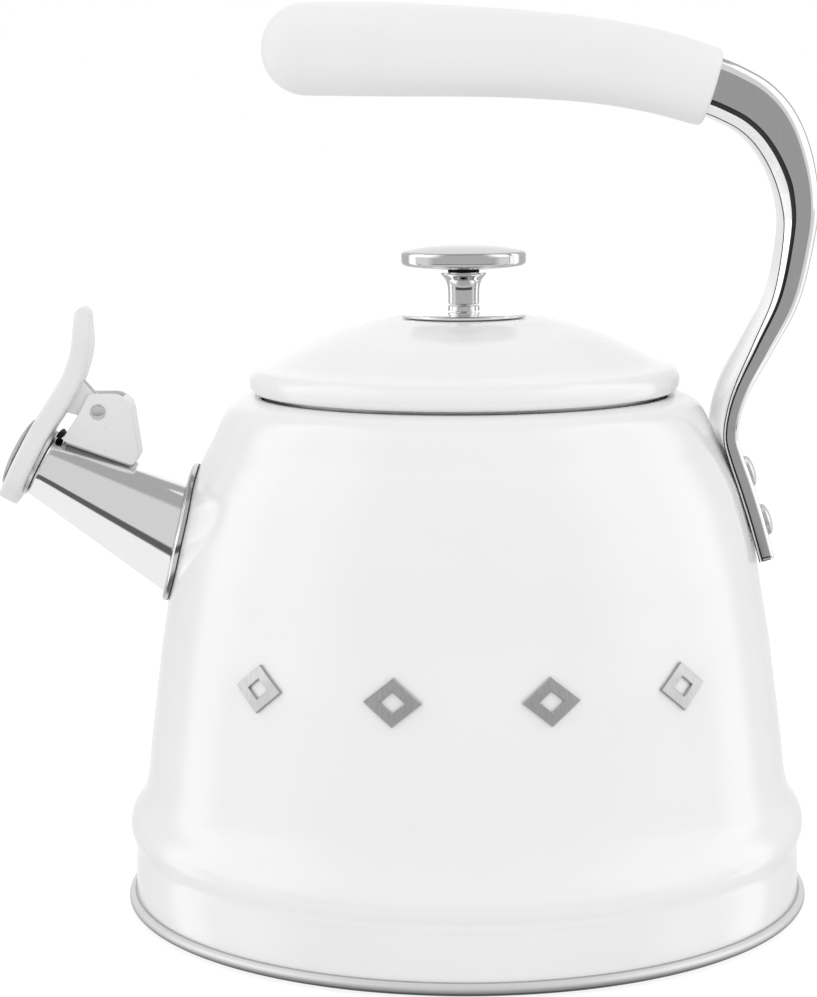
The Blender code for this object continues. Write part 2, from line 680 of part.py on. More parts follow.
def make_rivets():
    inner_face = -BODY_WALL - 1.0 * MM
    washer = 1.0 * MM
    for place, height in RIVET_HEIGHTS.items():
        point, outward = rivet_frame(height)
        ring = disc(f"rivet_washer_{place}", 6.2 * MM, inner_face - washer, inner_face,
                    hole=RIVET_HOLE_RADIUS)
        finish_object(aim(ring, point, outward), BRUSHED)
        top = STRAP_AT_RIVET + GAP
        bottom = inner_face - washer - GAP
        dome = [(RIVET_HEAD_RADIUS * math.sin(a), top + 0.7 * MM + 1.6 * MM * math.cos(a))
                for a in (math.radians(d) for d in (0, 25, 50, 72, 90))]
        outline = [*dome, (RIVET_HEAD_RADIUS, top), (RIVET_RADIUS, top), (RIVET_RADIUS, bottom),
                   (4.2 * MM, bottom), (3.6 * MM, bottom - 1.3 * MM), (0, bottom - 1.6 * MM)]
        rivet = turned(f"handle_rivet_{place}", outline, segments=ROUND_SMALL)
        finish_object(aim(rivet, point, outward), POLISHED)


# ---------------------------------------------------------------- lid and knob

def make_lid():
    crown = mm_points((18.5, 163.0), (25.6, 162.1), (34.0, 160.0), (44.4, 156.0), (53.4, 151.2),
                      (56.4, 150.0))
    rim = mm_points((58.3, 148.6), (59.3, 146.9), (59.35, 145.2), (58.8, 143.7), (57.3, 142.9))
    outline = [Vector((KNOB_HOLE_RADIUS, LID_SEAT_Z)), *crown, *rim]
    finish_object(turned("lid_shell", outline, wall=LID_WALL), ENAMEL)

    skirt = mm_points((50.8, 151.2), (54.8, 149.2), (SKIRT_RING_RADIUS / MM, 148.4),
                      (SKIRT_RING_RADIUS / MM, 133.8))
    finish_object(turned("lid_skirt", skirt, wall=0.8 * MM), POLISHED)

    plate_low = LID_SEAT_Z + GAP
    plate = turned("knob_plate", [(KNOB_HOLE_RADIUS, plate_low + 1.3 * MM), (14.5 * MM, plate_low + 1.2 * MM),
                                  (KNOB_PLATE_RADIUS - 0.3 * MM, plate_low + 0.9 * MM),
                                  (KNOB_PLATE_RADIUS, plate_low + 0.5 * MM),
                                  (KNOB_PLATE_RADIUS - 0.4 * MM, plate_low), (KNOB_HOLE_RADIUS, plate_low)],
                   closed=True, segments=24)
    finish_object(plate, POLISHED)
    collar_low = plate_low + 1.3 * MM + GAP
    finish_object(disc("knob_collar", 4.35 * MM, collar_low, KNOB_BASE_Z - GAP, hole=KNOB_HOLE_RADIUS,
                       segments=24), POLISHED)

    head = mm_points((0, 182.9), (6.0, 182.75), (11.0, 182.4), (14.5, 181.9), (16.4, 181.1), (17.25, 179.9),
                     (17.25, 178.8), (16.6, 177.6), (15.0, 177.0), (12.0, 176.6), (5.4, 176.4))
    stem = mm_points((5.2, 176.0), (6.6, 175.5), (6.2, 174.8), (5.2, 173.7), (4.6, 172.2), (4.35, 170.0),
                     (4.3, KNOB_BASE_Z / MM))
    socket = [Vector((KNOB_HOLE_RADIUS, KNOB_BASE_Z)), Vector((KNOB_HOLE_RADIUS, 174 * MM)),
              Vector((0, 174 * MM))]
    finish_object(turned("knob", head + stem + socket, segments=24), POLISHED)

    washer_top = LID_SEAT_Z - LID_WALL - GAP
    washer_low = washer_top - 1.0 * MM
    finish_object(disc("knob_washer", 7.0 * MM, washer_low, washer_top, hole=KNOB_HOLE_RADIUS), BRUSHED)
    head_top = washer_low - GAP
    screw = turned("knob_screw", [(0, 173.2 * MM), (1.7 * MM, 173.2 * MM), (2.0 * MM, 172.8 * MM),
                                  (2.0 * MM, head_top), (3.8 * MM, head_top), (3.8 * MM, head_top - 1.2 * MM),
                                  (2.8 * MM, head_top - 2.1 * MM), (0, head_top - 2.3 * MM)],
                   segments=ROUND_SMALL)
    finish_object(screw, BRUSHED)


# ---------------------------------------------------------------- front appliques

def lozenge(half_width, half_height):
    return [(half_width, 0), (0, half_height), (-half_width, 0), (0, -half_height)]


def make_badges():
    for number, azimuth in enumerate(BADGE_AZIMUTHS, start=1):
        badge = wall_layer(f"badge_{number}", GAP, GAP + BADGE_THICKNESS, 50 * MM, 100 * MM)
        turn = Matrix.Rotation(math.radians(azimuth), 4, "Z")
        lift = turn @ Matrix.Translation((0, -90 * MM, BADGE_HEIGHT_Z))
        outside = extruded(f"badge_outside_{number}", lozenge(BADGE_HALF_WIDTH, BADGE_HALF_HEIGHT), 20 * MM)
        inside = extruded(f"badge_inside_{number}",
                          lozenge(0.42 * BADGE_HALF_WIDTH, 0.42 * BADGE_HALF_HEIGHT), 20 * MM)
        for shape in (outside, inside):
            shape.matrix_world = lift
        keep_inside(badge, outside)
        cut(badge, inside)
        finish_object(badge, BRUSHED)


make_base()
make_vessel()
make_spout()
make_bracket()
make_flap()
make_spring()
make_strap()
make_grip()
make_rivets()
make_lid()
make_badges()
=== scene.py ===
"""Stovetop whistling kettle: the finished look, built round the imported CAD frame.

The frame is in metres with +Z up and its origin under the centre of the base.
The spout points to -X, the arm is on the +X side and the camera looks along +Y.
"""
import json
import math

import bmesh
import bpy
from mathutils import Matrix, Vector


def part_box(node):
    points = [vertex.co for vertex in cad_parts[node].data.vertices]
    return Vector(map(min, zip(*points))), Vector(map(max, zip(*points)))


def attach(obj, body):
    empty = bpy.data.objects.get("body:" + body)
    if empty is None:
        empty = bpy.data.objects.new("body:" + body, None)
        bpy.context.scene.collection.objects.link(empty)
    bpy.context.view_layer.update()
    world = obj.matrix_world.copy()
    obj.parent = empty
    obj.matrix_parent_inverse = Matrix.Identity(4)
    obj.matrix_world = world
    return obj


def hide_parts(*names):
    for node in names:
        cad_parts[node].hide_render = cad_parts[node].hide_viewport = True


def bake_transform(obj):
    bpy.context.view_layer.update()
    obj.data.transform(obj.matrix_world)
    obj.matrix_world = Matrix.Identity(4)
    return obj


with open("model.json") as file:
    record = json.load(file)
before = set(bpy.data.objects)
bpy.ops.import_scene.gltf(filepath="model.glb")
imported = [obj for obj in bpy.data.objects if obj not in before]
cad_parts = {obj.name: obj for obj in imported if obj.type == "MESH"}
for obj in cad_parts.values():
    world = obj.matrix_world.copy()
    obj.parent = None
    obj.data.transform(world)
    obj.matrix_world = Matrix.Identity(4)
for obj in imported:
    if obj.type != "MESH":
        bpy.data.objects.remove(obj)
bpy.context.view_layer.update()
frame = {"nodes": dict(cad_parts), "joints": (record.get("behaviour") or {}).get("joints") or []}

MM = 0.001
X, Y, Z = Vector((1, 0, 0)), Vector((0, 1, 0)), Vector((0, 0, 1))
NODES = frame["nodes"]
JOINTS = {joint["name"]: joint for joint in frame["joints"]}
ROUND = 192                     # segments of the large turned pieces
ROUND_SMALL = 64                # segments of knob, spout and rivets

# Driving dimensions, from the frame
BASE_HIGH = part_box("base_cap")[1]
BODY_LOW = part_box("body_shell")[0]
LID_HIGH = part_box("lid_shell")[1]
KNOB_LOW, KNOB_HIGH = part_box("knob")
PIN = Vector(JOINTS["whistle_flap"]["pos_m"])

# Sheet thickness and the spout's cone, as on the CAD
BODY_WALL = 0.8 * MM
LID_WALL = 0.9 * MM
SPOUT_TILT = math.radians(27.5)
SPOUT_AXIS = Vector((-math.cos(SPOUT_TILT), 0, math.sin(SPOUT_TILT)))
SPOUT_UP = Vector((math.sin(SPOUT_TILT), 0, math.cos(SPOUT_TILT)))
MOUTH = PIN + Vector((-16.5, 0, -15.2)) * MM
MOUTH_RADIUS = 8.74 * MM
SPOUT_TAPER = 0.166
SPOUT_WALL = 0.9 * MM


# ---------------------------------------------------------------- curves and outlines

def mm_points(*points):
    return [Vector(point) * MM for point in points]


def smooth(points, steps=4):
    """A Catmull-Rom curve through points of any dimension, with `steps` pieces to a span."""
    points = [Vector(point) for point in points]
    padded = [2 * points[0] - points[1], *points, 2 * points[-1] - points[-2]]
    curve = []
    for a, b, c, d in zip(padded, padded[1:], padded[2:], padded[3:]):
        for step in range(steps):
            t = step / steps
            curve.append(0.5 * (2 * b + (c - a) * t + (2 * a - 5 * b + 4 * c - d) * t ** 2
                                + (3 * b - a - 3 * c + d) * t ** 3))
    return curve + [points[-1]]


def arc(centre, radius, start, end, steps=8):
    """Points on a circle in the outline's plane, angles in degrees."""
    angles = [math.radians(start + (end - start) * i / steps) for i in range(steps + 1)]
    return [Vector((centre[0] + radius * math.cos(a), centre[1] + radius * math.sin(a))) for a in angles]


def offset(outline, distance):
    """The outline moved to its left by a distance."""
    moved = []
    for i, point in enumerate(outline):
        run = (outline[min(i + 1, len(outline) - 1)] - outline[max(i - 1, 0)]).normalized()
        moved.append(point + Vector((-run[1], run[0])) * distance)
    return moved


# ---------------------------------------------------------------- meshes

def link(name, mesh):
    item = bpy.data.objects.new(name, mesh)
    bpy.context.scene.collection.objects.link(item)
    return item


def close_up(name, build):
    """The object made of a finished bmesh, with its normals outwards."""
    bmesh.ops.remove_doubles(build, verts=build.verts, dist=0.001 * MM)
    bmesh.ops.recalc_face_normals(build, faces=build.faces)
    mesh = bpy.data.meshes.new(name)
    build.to_mesh(mesh)
    build.free()
    return link(name, mesh)


def frame_at(origin, direction):
    """A matrix whose +Z runs along direction and whose origin is at origin."""
    direction = Vector(direction).normalized()
    across = (Y if abs(direction.y) < 0.9 else Z).cross(direction).normalized()
    turn = Matrix((across, direction.cross(across), direction)).transposed()
    return Matrix.Translation(origin) @ turn.to_4x4()


def skin(build, rings, closed_path=False):
    """Quads between rings of vertices; a ring of one vertex is a pole."""
    pairs = list(zip(rings, rings[1:]))
    if closed_path:
        pairs.append((rings[-1], rings[0]))
    for a, b in pairs:
        count = max(len(a), len(b))
        for i in range(count):
            j = (i + 1) % count
            corners = [a[i % len(a)], a[j % len(a)], b[j % len(b)], b[i % len(b)]]
            unique = list(dict.fromkeys(corners))
            if len(unique) > 2:
                build.faces.new(unique)


def turned(name, outline, origin=(0, 0, 0), direction=(0, 0, 1), segments=ROUND):
    """A solid of revolution; an outline that doesn't start and end on the axis is closed on itself."""
    build = bmesh.new()
    place = frame_at(Vector(origin), direction)
    rings = []
    for radius, height in outline:
        if radius < 1e-7:
            rings.append([build.verts.new(place @ Vector((0, 0, height)))])
            continue
        angles = [2 * math.pi * i / segments for i in range(segments)]
        rings.append([build.verts.new(place @ Vector((radius * math.cos(a), radius * math.sin(a), height)))
                      for a in angles])
    skin(build, rings, closed_path=len(rings[0]) > 1 or len(rings[-1]) > 1)
    return close_up(name, build)


def lofted(name, sections, kinds=()):
    """A solid through sections of equal length, closed by a face at each end.

    The kinds are the material numbers of the sections' sides, counted from their first point."""
    build = bmesh.new()
    rings = [[build.verts.new(point) for point in section] for section in sections]
    skin(build, rings)
    for number, face in enumerate(build.faces):
        face.material_index = kinds[number % len(kinds)] if kinds else 0
    build.faces.new(rings[0])
    build.faces.new(rings[-1])
    return close_up(name, build)


def extruded(name, outline, low, high):
    """A flat (x, z) outline between two depths along Y."""
    return lofted(name, [[Vector((x, depth, z)) for x, z in outline] for depth in (low, high)])


def freeze(item):
    """Replace the object's mesh by its evaluated one."""
    graph = bpy.context.evaluated_depsgraph_get()
    mesh = bpy.data.meshes.new_from_object(item.evaluated_get(graph))
    item.modifiers.clear()
    item.data = mesh
    return item


def round_edges(item, width, segments=3, limit=35):
    bevel = item.modifiers.new("edges", "BEVEL")
    bevel.width = width
    bevel.segments = segments
    bevel.limit_method = "ANGLE"
    bevel.angle_limit = math.radians(limit)
    return freeze(item)


def cut(item, *cutters, operation="DIFFERENCE"):
    for cutter in cutters:
        step = item.modifiers.new("cut", "BOOLEAN")
        step.operation = operation
        step.solver = "EXACT"
        step.object = cutter
    bpy.context.view_layer.update()
    freeze(item)
    for cutter in cutters:
        bpy.data.objects.remove(cutter)
    return item


def finish(item, material, body, replaces=(), sharp=32, others=()):
    """Material, shading, and the piece's place in the frame."""
    if item.data.materials:
        item.data.materials.clear()
    for used in (material, *others):
        item.data.materials.append(used)
    item.data.shade_smooth()
    item.data.set_sharp_from_angle(angle=math.radians(sharp))
    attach(item, body)
    if replaces:
        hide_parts(*replaces)
    return item


# ---------------------------------------------------------------- materials

class Shader:
    """A Principled material with procedural detail in the object's own metres."""

    def __init__(self, name, roughness, metallic=0.0, specular=0.5, ior=1.5):
        self.material = bpy.data.materials.new(name)
        self.material.use_nodes = True
        self.nodes = self.material.node_tree.nodes
        self.links = self.material.node_tree.links
        self.surface = self.nodes["Principled BSDF"]
        self.surface.inputs["Roughness"].default_value = roughness
        self.surface.inputs["Metallic"].default_value = metallic
        self.surface.inputs["Specular IOR Level"].default_value = specular
        self.surface.inputs["IOR"].default_value = ior
        self.place = self.nodes.new("ShaderNodeTexCoord").outputs["Object"]
        self.normal = None

    def stretched(self, scale, origin=(0, 0, 0), direction=None):
        """Coordinates scaled per axis, first turned so that +Z runs along direction."""
        mapping = self.nodes.new("ShaderNodeMapping")
        mapping.vector_type = "POINT"
        source = self.place
        if direction is not None:
            turn = self.nodes.new("ShaderNodeMapping")
            turn.vector_type = "TEXTURE"
            turn.inputs["Location"].default_value = origin
            turn.inputs["Rotation"].default_value = frame_at(Vector(origin), direction).to_euler()
            self.links.new(source, turn.inputs["Vector"])
            source = turn.outputs["Vector"]
        mapping.inputs["Scale"].default_value = scale
        self.links.new(source, mapping.inputs["Vector"])
        return mapping.outputs["Vector"]

    def round_about(self, origin=(0, 0, 0), direction=(0, 0, 1), scale=(1, 1, 1)):
        """(angle, radius, height) about an axis, scaled: for marks that run round a turned piece."""
        split = self.nodes.new("ShaderNodeSeparateXYZ")
        self.links.new(self.stretched((1, 1, 1), origin, direction), split.inputs[0])
        angle = self.maths("ARCTAN2", split.outputs["Y"], split.outputs["X"])
        squares = self.maths("ADD", self.maths("MULTIPLY", split.outputs["X"], split.outputs["X"]),
                             self.maths("MULTIPLY", split.outputs["Y"], split.outputs["Y"]))
        radius = self.maths("SQRT", squares)
        joined = self.nodes.new("ShaderNodeCombineXYZ")
        for socket, value, factor in zip(joined.inputs, (angle, radius, split.outputs["Z"]), scale):
            self.links.new(self.maths("MULTIPLY", value, factor), socket)
        return joined.outputs[0]

    def maths(self, operation, *values):
        node = self.nodes.new("ShaderNodeMath")
        node.operation = operation
        for socket, value in zip(node.inputs, values):
            if isinstance(value, (int, float)):
                socket.default_value = value
            else:
                self.links.new(value, socket)
        return node.outputs[0]

    def noise(self, vector, scale=1.0, detail=3.0, roughness=0.5):
        node = self.nodes.new("ShaderNodeTexNoise")
        node.inputs["Scale"].default_value = scale
        node.inputs["Detail"].default_value = detail
        node.inputs["Roughness"].default_value = roughness
        self.links.new(vector, node.inputs["Vector"])
        return node.outputs["Fac"]

    def ramp(self, value, low, high, start=0.3, end=0.7):
        """Colours or numbers from low to high as value goes from start to end."""
        node = self.nodes.new("ShaderNodeValToRGB")
        for stop, position, level in zip(node.color_ramp.elements, (start, end), (low, high)):
            stop.position = position
            stop.color = (level, level, level, 1) if isinstance(level, float) else (*level, 1)
        self.links.new(value, node.inputs["Fac"])
        return node.outputs["Color"]

    def colour(self, value, low, high, start=0.3, end=0.7):
        self.links.new(self.ramp(value, low, high, start, end), self.surface.inputs["Base Color"])

    def gloss(self, value, low, high, start=0.3, end=0.7):
        self.links.new(self.ramp(value, low, high, start, end), self.surface.inputs["Roughness"])

    def bump(self, value, depth, strength=1.0):
        node = self.nodes.new("ShaderNodeBump")
        node.inputs["Strength"].default_value = strength
        node.inputs["Distance"].default_value = depth
        self.links.new(value, node.inputs["Height"])
        if self.normal is not None:
            self.links.new(self.normal, node.inputs["Normal"])
        self.normal = node.outputs["Normal"]
        self.links.new(self.normal, self.surface.inputs["Normal"])


def enamel():
    """Fired white enamel: glossy, with a faint flow in the glass and hardly any tint."""
    made = Shader("white_enamel", roughness=0.15, specular=0.5, ior=1.5)
    clouds = made.noise(made.place, scale=22, detail=4)
    made.colour(clouds, (0.862, 0.863, 0.861), (0.882, 0.882, 0.88))
    made.gloss(made.noise(made.place, scale=90, detail=3), 0.13, 0.18)
    made.bump(made.noise(made.place, scale=240, detail=2), 0.012 * MM, 0.35)
    return made.material


def soft_touch():
    """Rubber-like coating on the grip: a fine even grain."""
    made = Shader("soft_touch_coating", roughness=0.5, specular=0.4)
    made.colour(made.noise(made.place, scale=30, detail=4), (0.852, 0.852, 0.85), (0.874, 0.874, 0.872))
    made.gloss(made.noise(made.place, scale=400, detail=3), 0.42, 0.56)
    made.bump(made.noise(made.place, scale=3200, detail=2), 0.02 * MM, 0.5)
    return made.material


def moulded_plastic():
    made = Shader("white_moulded_plastic", roughness=0.32, specular=0.5)
    made.colour(made.noise(made.place, scale=60, detail=4), (0.79, 0.79, 0.788), (0.81, 0.81, 0.808))
    made.gloss(made.noise(made.place, scale=500, detail=3), 0.26, 0.38)
    made.bump(made.noise(made.place, scale=2200, detail=2), 0.012 * MM, 0.4)
    return made.material


def metal(name, level, roughness, vector_of, depth=0.0015, spread=0.05, edge=1.0):
    """A grey metal with fine marks; vector_of gives their coordinates, edge its tint seen edge-on."""
    made = Shader(name, roughness=roughness, metallic=1.0)
    made.surface.inputs["Specular Tint"].default_value = (edge, edge, edge, 1)
    marks = made.noise(vector_of(made), detail=5, roughness=0.6)
    made.colour(marks, (level * (1 - spread),) * 3, (level * (1 + spread),) * 3)
    smudges = made.noise(made.place, scale=120, detail=4)
    made.gloss(smudges, roughness * 0.8, roughness * 1.3)
    made.bump(marks, depth * MM, 0.6)
    return made.material


def upright_marks(made):
    return made.stretched((2500, 2500, 60))


def turning_marks(made):
    return made.round_about(scale=(6, 5200, 5200))


def spout_marks(made):
    return made.round_about(MOUTH, SPOUT_AXIS, scale=(70, 900, 60))


def even_marks(made):
    return made.stretched((1800, 1800, 1800))


def painted_shade_base_steel():
    """Turned steel with painted shade: darker towards the bottom edge and in the crevice under the skirt,
    where contact shadow and the floor's dark reflection fall.
    """
    crevice_start, crevice_width, crevice_painted_shade = 93.1 * MM, 0.9 * MM, 0.7
    made = Shader("base_turned_steel_painted_shade", roughness=0.42, metallic=0.4)
    marks = made.noise(turning_marks(made), detail=5, roughness=0.6)
    split = made.nodes.new("ShaderNodeSeparateXYZ")
    made.links.new(made.place, split.inputs[0])
    # Painted shade: the colour darkens towards the bottom edge and in the crevice under the skirt.
    height = made.maths("MULTIPLY", split.outputs["Z"], 1 / BASE_HIGH.z)
    squares = made.maths("ADD", made.maths("MULTIPLY", split.outputs["X"], split.outputs["X"]),
                         made.maths("MULTIPLY", split.outputs["Y"], split.outputs["Y"]))
    beyond = made.maths("SUBTRACT", made.maths("SQRT", squares), crevice_start)
    crevice = made.maths("MAXIMUM", made.maths("MULTIPLY", beyond, 1 / crevice_width), crevice_painted_shade)
    painted_shade_level = made.maths("MINIMUM", made.maths("ADD", height, made.maths("MULTIPLY", marks, 0.12)), crevice)
    made.colour(painted_shade_level, (0.06,) * 3, (0.72,) * 3, start=0.42, end=0.9)
    made.bump(marks, 0.0015 * MM, 0.6)
    return made.material


ENAMEL = enamel()
BASE_STEEL_PAINTED_SHADE = painted_shade_base_steel()
SOFT_TOUCH = soft_touch()
PLASTIC = moulded_plastic()
SPOUT_STEEL = metal("spout_polished_steel", 0.95, 0.07, spout_marks, spread=0.03)
COLLAR_STEEL = metal("collar_polished_steel", 0.6, 0.12, even_marks)
ARM_STEEL = metal("arm_polished_steel", 0.95, 0.07, upright_marks, depth=0.0006, spread=0.02)
# Darker copies of the arm's polished steel: painted shade on its flat side and inner face, in place of
# their dimmer reflections.
ARM_FLAT_PAINTED_SHADE = metal("arm_flat_steel_painted_shade", 0.46, 0.09, upright_marks, depth=0.0006, spread=0.03)
ARM_INNER_PAINTED_SHADE = metal("arm_inner_steel_painted_shade", 0.72, 0.09, upright_marks, depth=0.0006, spread=0.03)
CHROME = metal("knob_chrome", 0.6, 0.045, even_marks, depth=0.0003, spread=0.02, edge=0.9)
PLATE_CHROME = metal("knob_plate_chrome", 0.92, 0.06, turning_marks, depth=0.0003, spread=0.02)
RIVET_STEEL = metal("rivet_satin_steel", 0.6, 0.38, even_marks, depth=0.0004)
BADGE_STEEL = metal("badge_brushed_steel", 0.5, 0.34, upright_marks, depth=0.004, spread=0.12)
FIXING_STEEL = metal("fixing_steel", 0.5, 0.25, even_marks, depth=0.004)
PIN_STEEL = metal("pin_satin_steel", 0.78, 0.35, even_marks, depth=0.004)
SPRING_STEEL = metal("spring_steel", 0.42, 0.28, even_marks, depth=0.004)
ALUMINIUM = metal("core_aluminium", 0.7, 0.38, turning_marks, depth=0.004)


def matt_material(name, low, high, specular):
    made = Shader(name, roughness=0.6, specular=specular)
    made.colour(made.noise(made.place, scale=150), (low,) * 3, (high,) * 3)
    made.bump(made.noise(made.place, scale=1500), 0.02 * MM, 0.5)
    return made.material


NYLON = matt_material("core_nylon", 0.26, 0.33, 0.5)
# Near-black: rubber for the flap's stop, and painted shade for the knob's neck ring.
DARK_RUBBER_AND_NECK_SHADE = matt_material("stop_dark_rubber_and_painted_neck_shade", 0.008, 0.014, 0.1)
GASKET_RUBBER = matt_material("gasket_grey_rubber", 0.4, 0.46, 0.3)
# Near-black painted shade, for the arm's groove and under the collar's outer edge.
GROOVE_PAINTED_SHADE = matt_material("groove_painted_shade", 0.06, 0.08, 0.2)


# ---------------------------------------------------------------- the vessel's wall

def wall_outline():
    """Outer (radius, height) of the vessel from its rim down to where the skirt is straight."""
    shoulder = mm_points((58.4, 142.2), (62.0, 141.0), (64.2, 139.7), (65.6, 138.2), (67.1, 135.6),
                         (69.6, 130.2), (71.8, 126.1), (75.0, 119.0), (77.0, 113.0), (80.0, 102.0),
                         (82.0, 90.0), (84.5, 75.3), (85.85, 65.2), (87.15, 55.1), (88.4, 44.9))
    bead = mm_points((88.9, 40.0), (89.3, 37.0), (89.75, 34.6), (90.3, 32.4), (91.2, 30.5), (92.4, 28.7),
                     (93.5, 26.9), (94.2, 25.0), (94.45, 23.2), (94.35, 21.9), (93.8, 20.0),
                     (93.2, 18.3), (93.0, 16.5), (93.15, 13.0))
    return smooth(shoulder + bead, steps=4)


WALL = wall_outline()


def wall_radius(height):
    for (r1, z1), (r2, z2) in zip(WALL, WALL[1:]):
        if z2 <= height <= z1:
            return r1 + (r2 - r1) * (z1 - height) / (z1 - z2)
    return WALL[-1][0]


def on_wall(point, direction):
    """How far point has to move along direction to lie on the vessel's outer wall."""
    low, high = -30 * MM, 30 * MM
    for _ in range(40):
        middle = (low + high) / 2
        place = point + direction * middle
        if math.hypot(place.x, place.y) < wall_radius(place.z):
            low = middle
        else:
            high = middle
    return point + direction * low


def make_vessel():
    corner = 0.3 * MM
    skirt = BODY_LOW.z + corner
    outside = [*mm_points((56.0, 135.5), (56.0, 138.0)), *arc((58.0 * MM, 140.2 * MM), 2.0 * MM, 180, 95),
               *WALL, Vector((93.2 * MM, 10 * MM)),
               *arc((93.2 * MM - corner, skirt), corner, 0, -90, 4)]
    inside = offset(outside, -BODY_WALL)
    shell = turned("enamel_body", outside + inside[::-1])
    hole = turned("hole", [(0, 0), (MOUTH_RADIUS, 0), (MOUTH_RADIUS + 75 * MM * SPOUT_TAPER, -75 * MM),
                           (0, -75 * MM)], MOUTH, SPOUT_AXIS, 64)
    cut(shell, hole)
    finish(shell, ENAMEL, "kettle", ["body_shell"])


def make_base():
    """The base's plate, turned up at the edge into a bead that the skirt stands over."""
    plate = 0.9 * MM
    ring = smooth(mm_points((91.6, 0.9), (91.6, 2.4), (92.1, 3.5), (93.1, 3.95), (94.4, 3.55), (95.15, 2.9),
                            (95.35, 2.1), (95.05, 1.4), (94.2, 0.8), (92.6, 0.25), (90.5, 0.0)), 4)
    under = []
    for radius in range(84, 8, -8):
        groove, slope, depth = 0.7 * MM, 0.3 * MM, 0.25 * MM
        middle = radius * MM
        under += [(middle + groove + slope, 0), (middle + groove, depth),
                  (middle - groove, depth), (middle - groove - slope, 0)]
    cap = turned("base_plate", [(0, plate), *ring, *under, (0, 0)])
    finish(cap, BASE_STEEL_PAINTED_SHADE, "kettle", ["base_cap"])


# ---------------------------------------------------------------- spout and collar

def spout_radius(depth):
    return MOUTH_RADIUS + SPOUT_TAPER * depth


def on_spout(out, up, side=0.0):
    """A point from the mouth's centre: outwards, up across the mouth, and sideways."""
    return MOUTH + SPOUT_AXIS * out + SPOUT_UP * up + Y * side


def make_spout():
    length = 56 * MM
    edge = 0.2 * MM
    lip = [Vector((MOUTH_RADIUS - SPOUT_WALL, -1.2 * MM)),
           *arc((MOUTH_RADIUS - SPOUT_WALL + edge, -edge), edge, 180, 90, 4),
           *arc((MOUTH_RADIUS - edge, -edge), edge, 90, 5, 4)]
    outer = [Vector((spout_radius(d * MM), -d * MM)) for d in (1.6, 5, 10, 20, 30, 40)]
    root = [Vector((spout_radius(length), -length)), Vector((spout_radius(length) - SPOUT_WALL, -length))]
    tube = turned("spout_tube_polished", lip + outer + root, MOUTH, SPOUT_AXIS, ROUND_SMALL * 2)
    inner_wall = [p for p in offset(WALL, -2.6 * MM) if 60 * MM < p[1] < 128 * MM]
    cut(tube, turned("vessel_space", [(0, 128 * MM), *inner_wall, (0, 60 * MM)]))
    finish(tube, SPOUT_STEEL, "kettle", ["spout_tube"])


def make_collar():
    """A pressed ring that lies on the vessel's wall round the spout, with painted shade under its outer
    edge.
    """
    painted_shade_side = 6                    # the side of the section that carries the painted shade
    height = MOUTH.z - 41.2 * MM * SPOUT_AXIS.z
    slope = math.radians(14.5)
    outward = Vector((-math.cos(slope), 0, math.sin(slope)))
    centre = Vector((-wall_radius(height), 0, height))
    rise = Y.cross(outward).normalized()
    section = [(14.4, 0.1), (14.4, 1.8), (18.8, 1.9), (19.35, 1.8), (19.65, 1.5), (19.7, 1.0),
               (19.65, 0.45), (19.4, 0.1)]
    build = bmesh.new()
    rings = []
    for radius, lift in section:
        ring = []
        for i in range(ROUND):
            angle = 2 * math.pi * i / ROUND
            spot = centre + (Y * math.cos(angle) + rise * math.sin(angle)) * radius * MM
            ring.append(build.verts.new(on_wall(spot, outward) + outward * lift * MM))
        rings.append(ring)
    skin(build, rings, closed_path=True)
    for number, face in enumerate(build.faces):
        face.material_index = 1 if number // ROUND == painted_shade_side else 0
    collar = close_up("spout_collar_ring", build)
    finish(collar, COLLAR_STEEL, "kettle", ["spout_collar"], others=[GROOVE_PAINTED_SHADE])


# ---------------------------------------------------------------- hinge

def both_ends(half):
    """A turned outline whose lower half mirrors the upper one."""
    return half + [Vector((radius, -height)) for radius, height in reversed(half)]


def above_spout(depth, height):
    return on_spout(-depth, spout_radius(depth) + height)


def spout_cone(clearance):
    """A cutter the shape of the spout, this much larger all round."""
    past, depth = 10 * MM, 60 * MM
    return turned("spout_cone", [(0, past), (spout_radius(-past) + clearance, past),
                                 (spout_radius(depth) + clearance, -depth), (0, -depth)],
                  MOUTH, SPOUT_AXIS, ROUND)


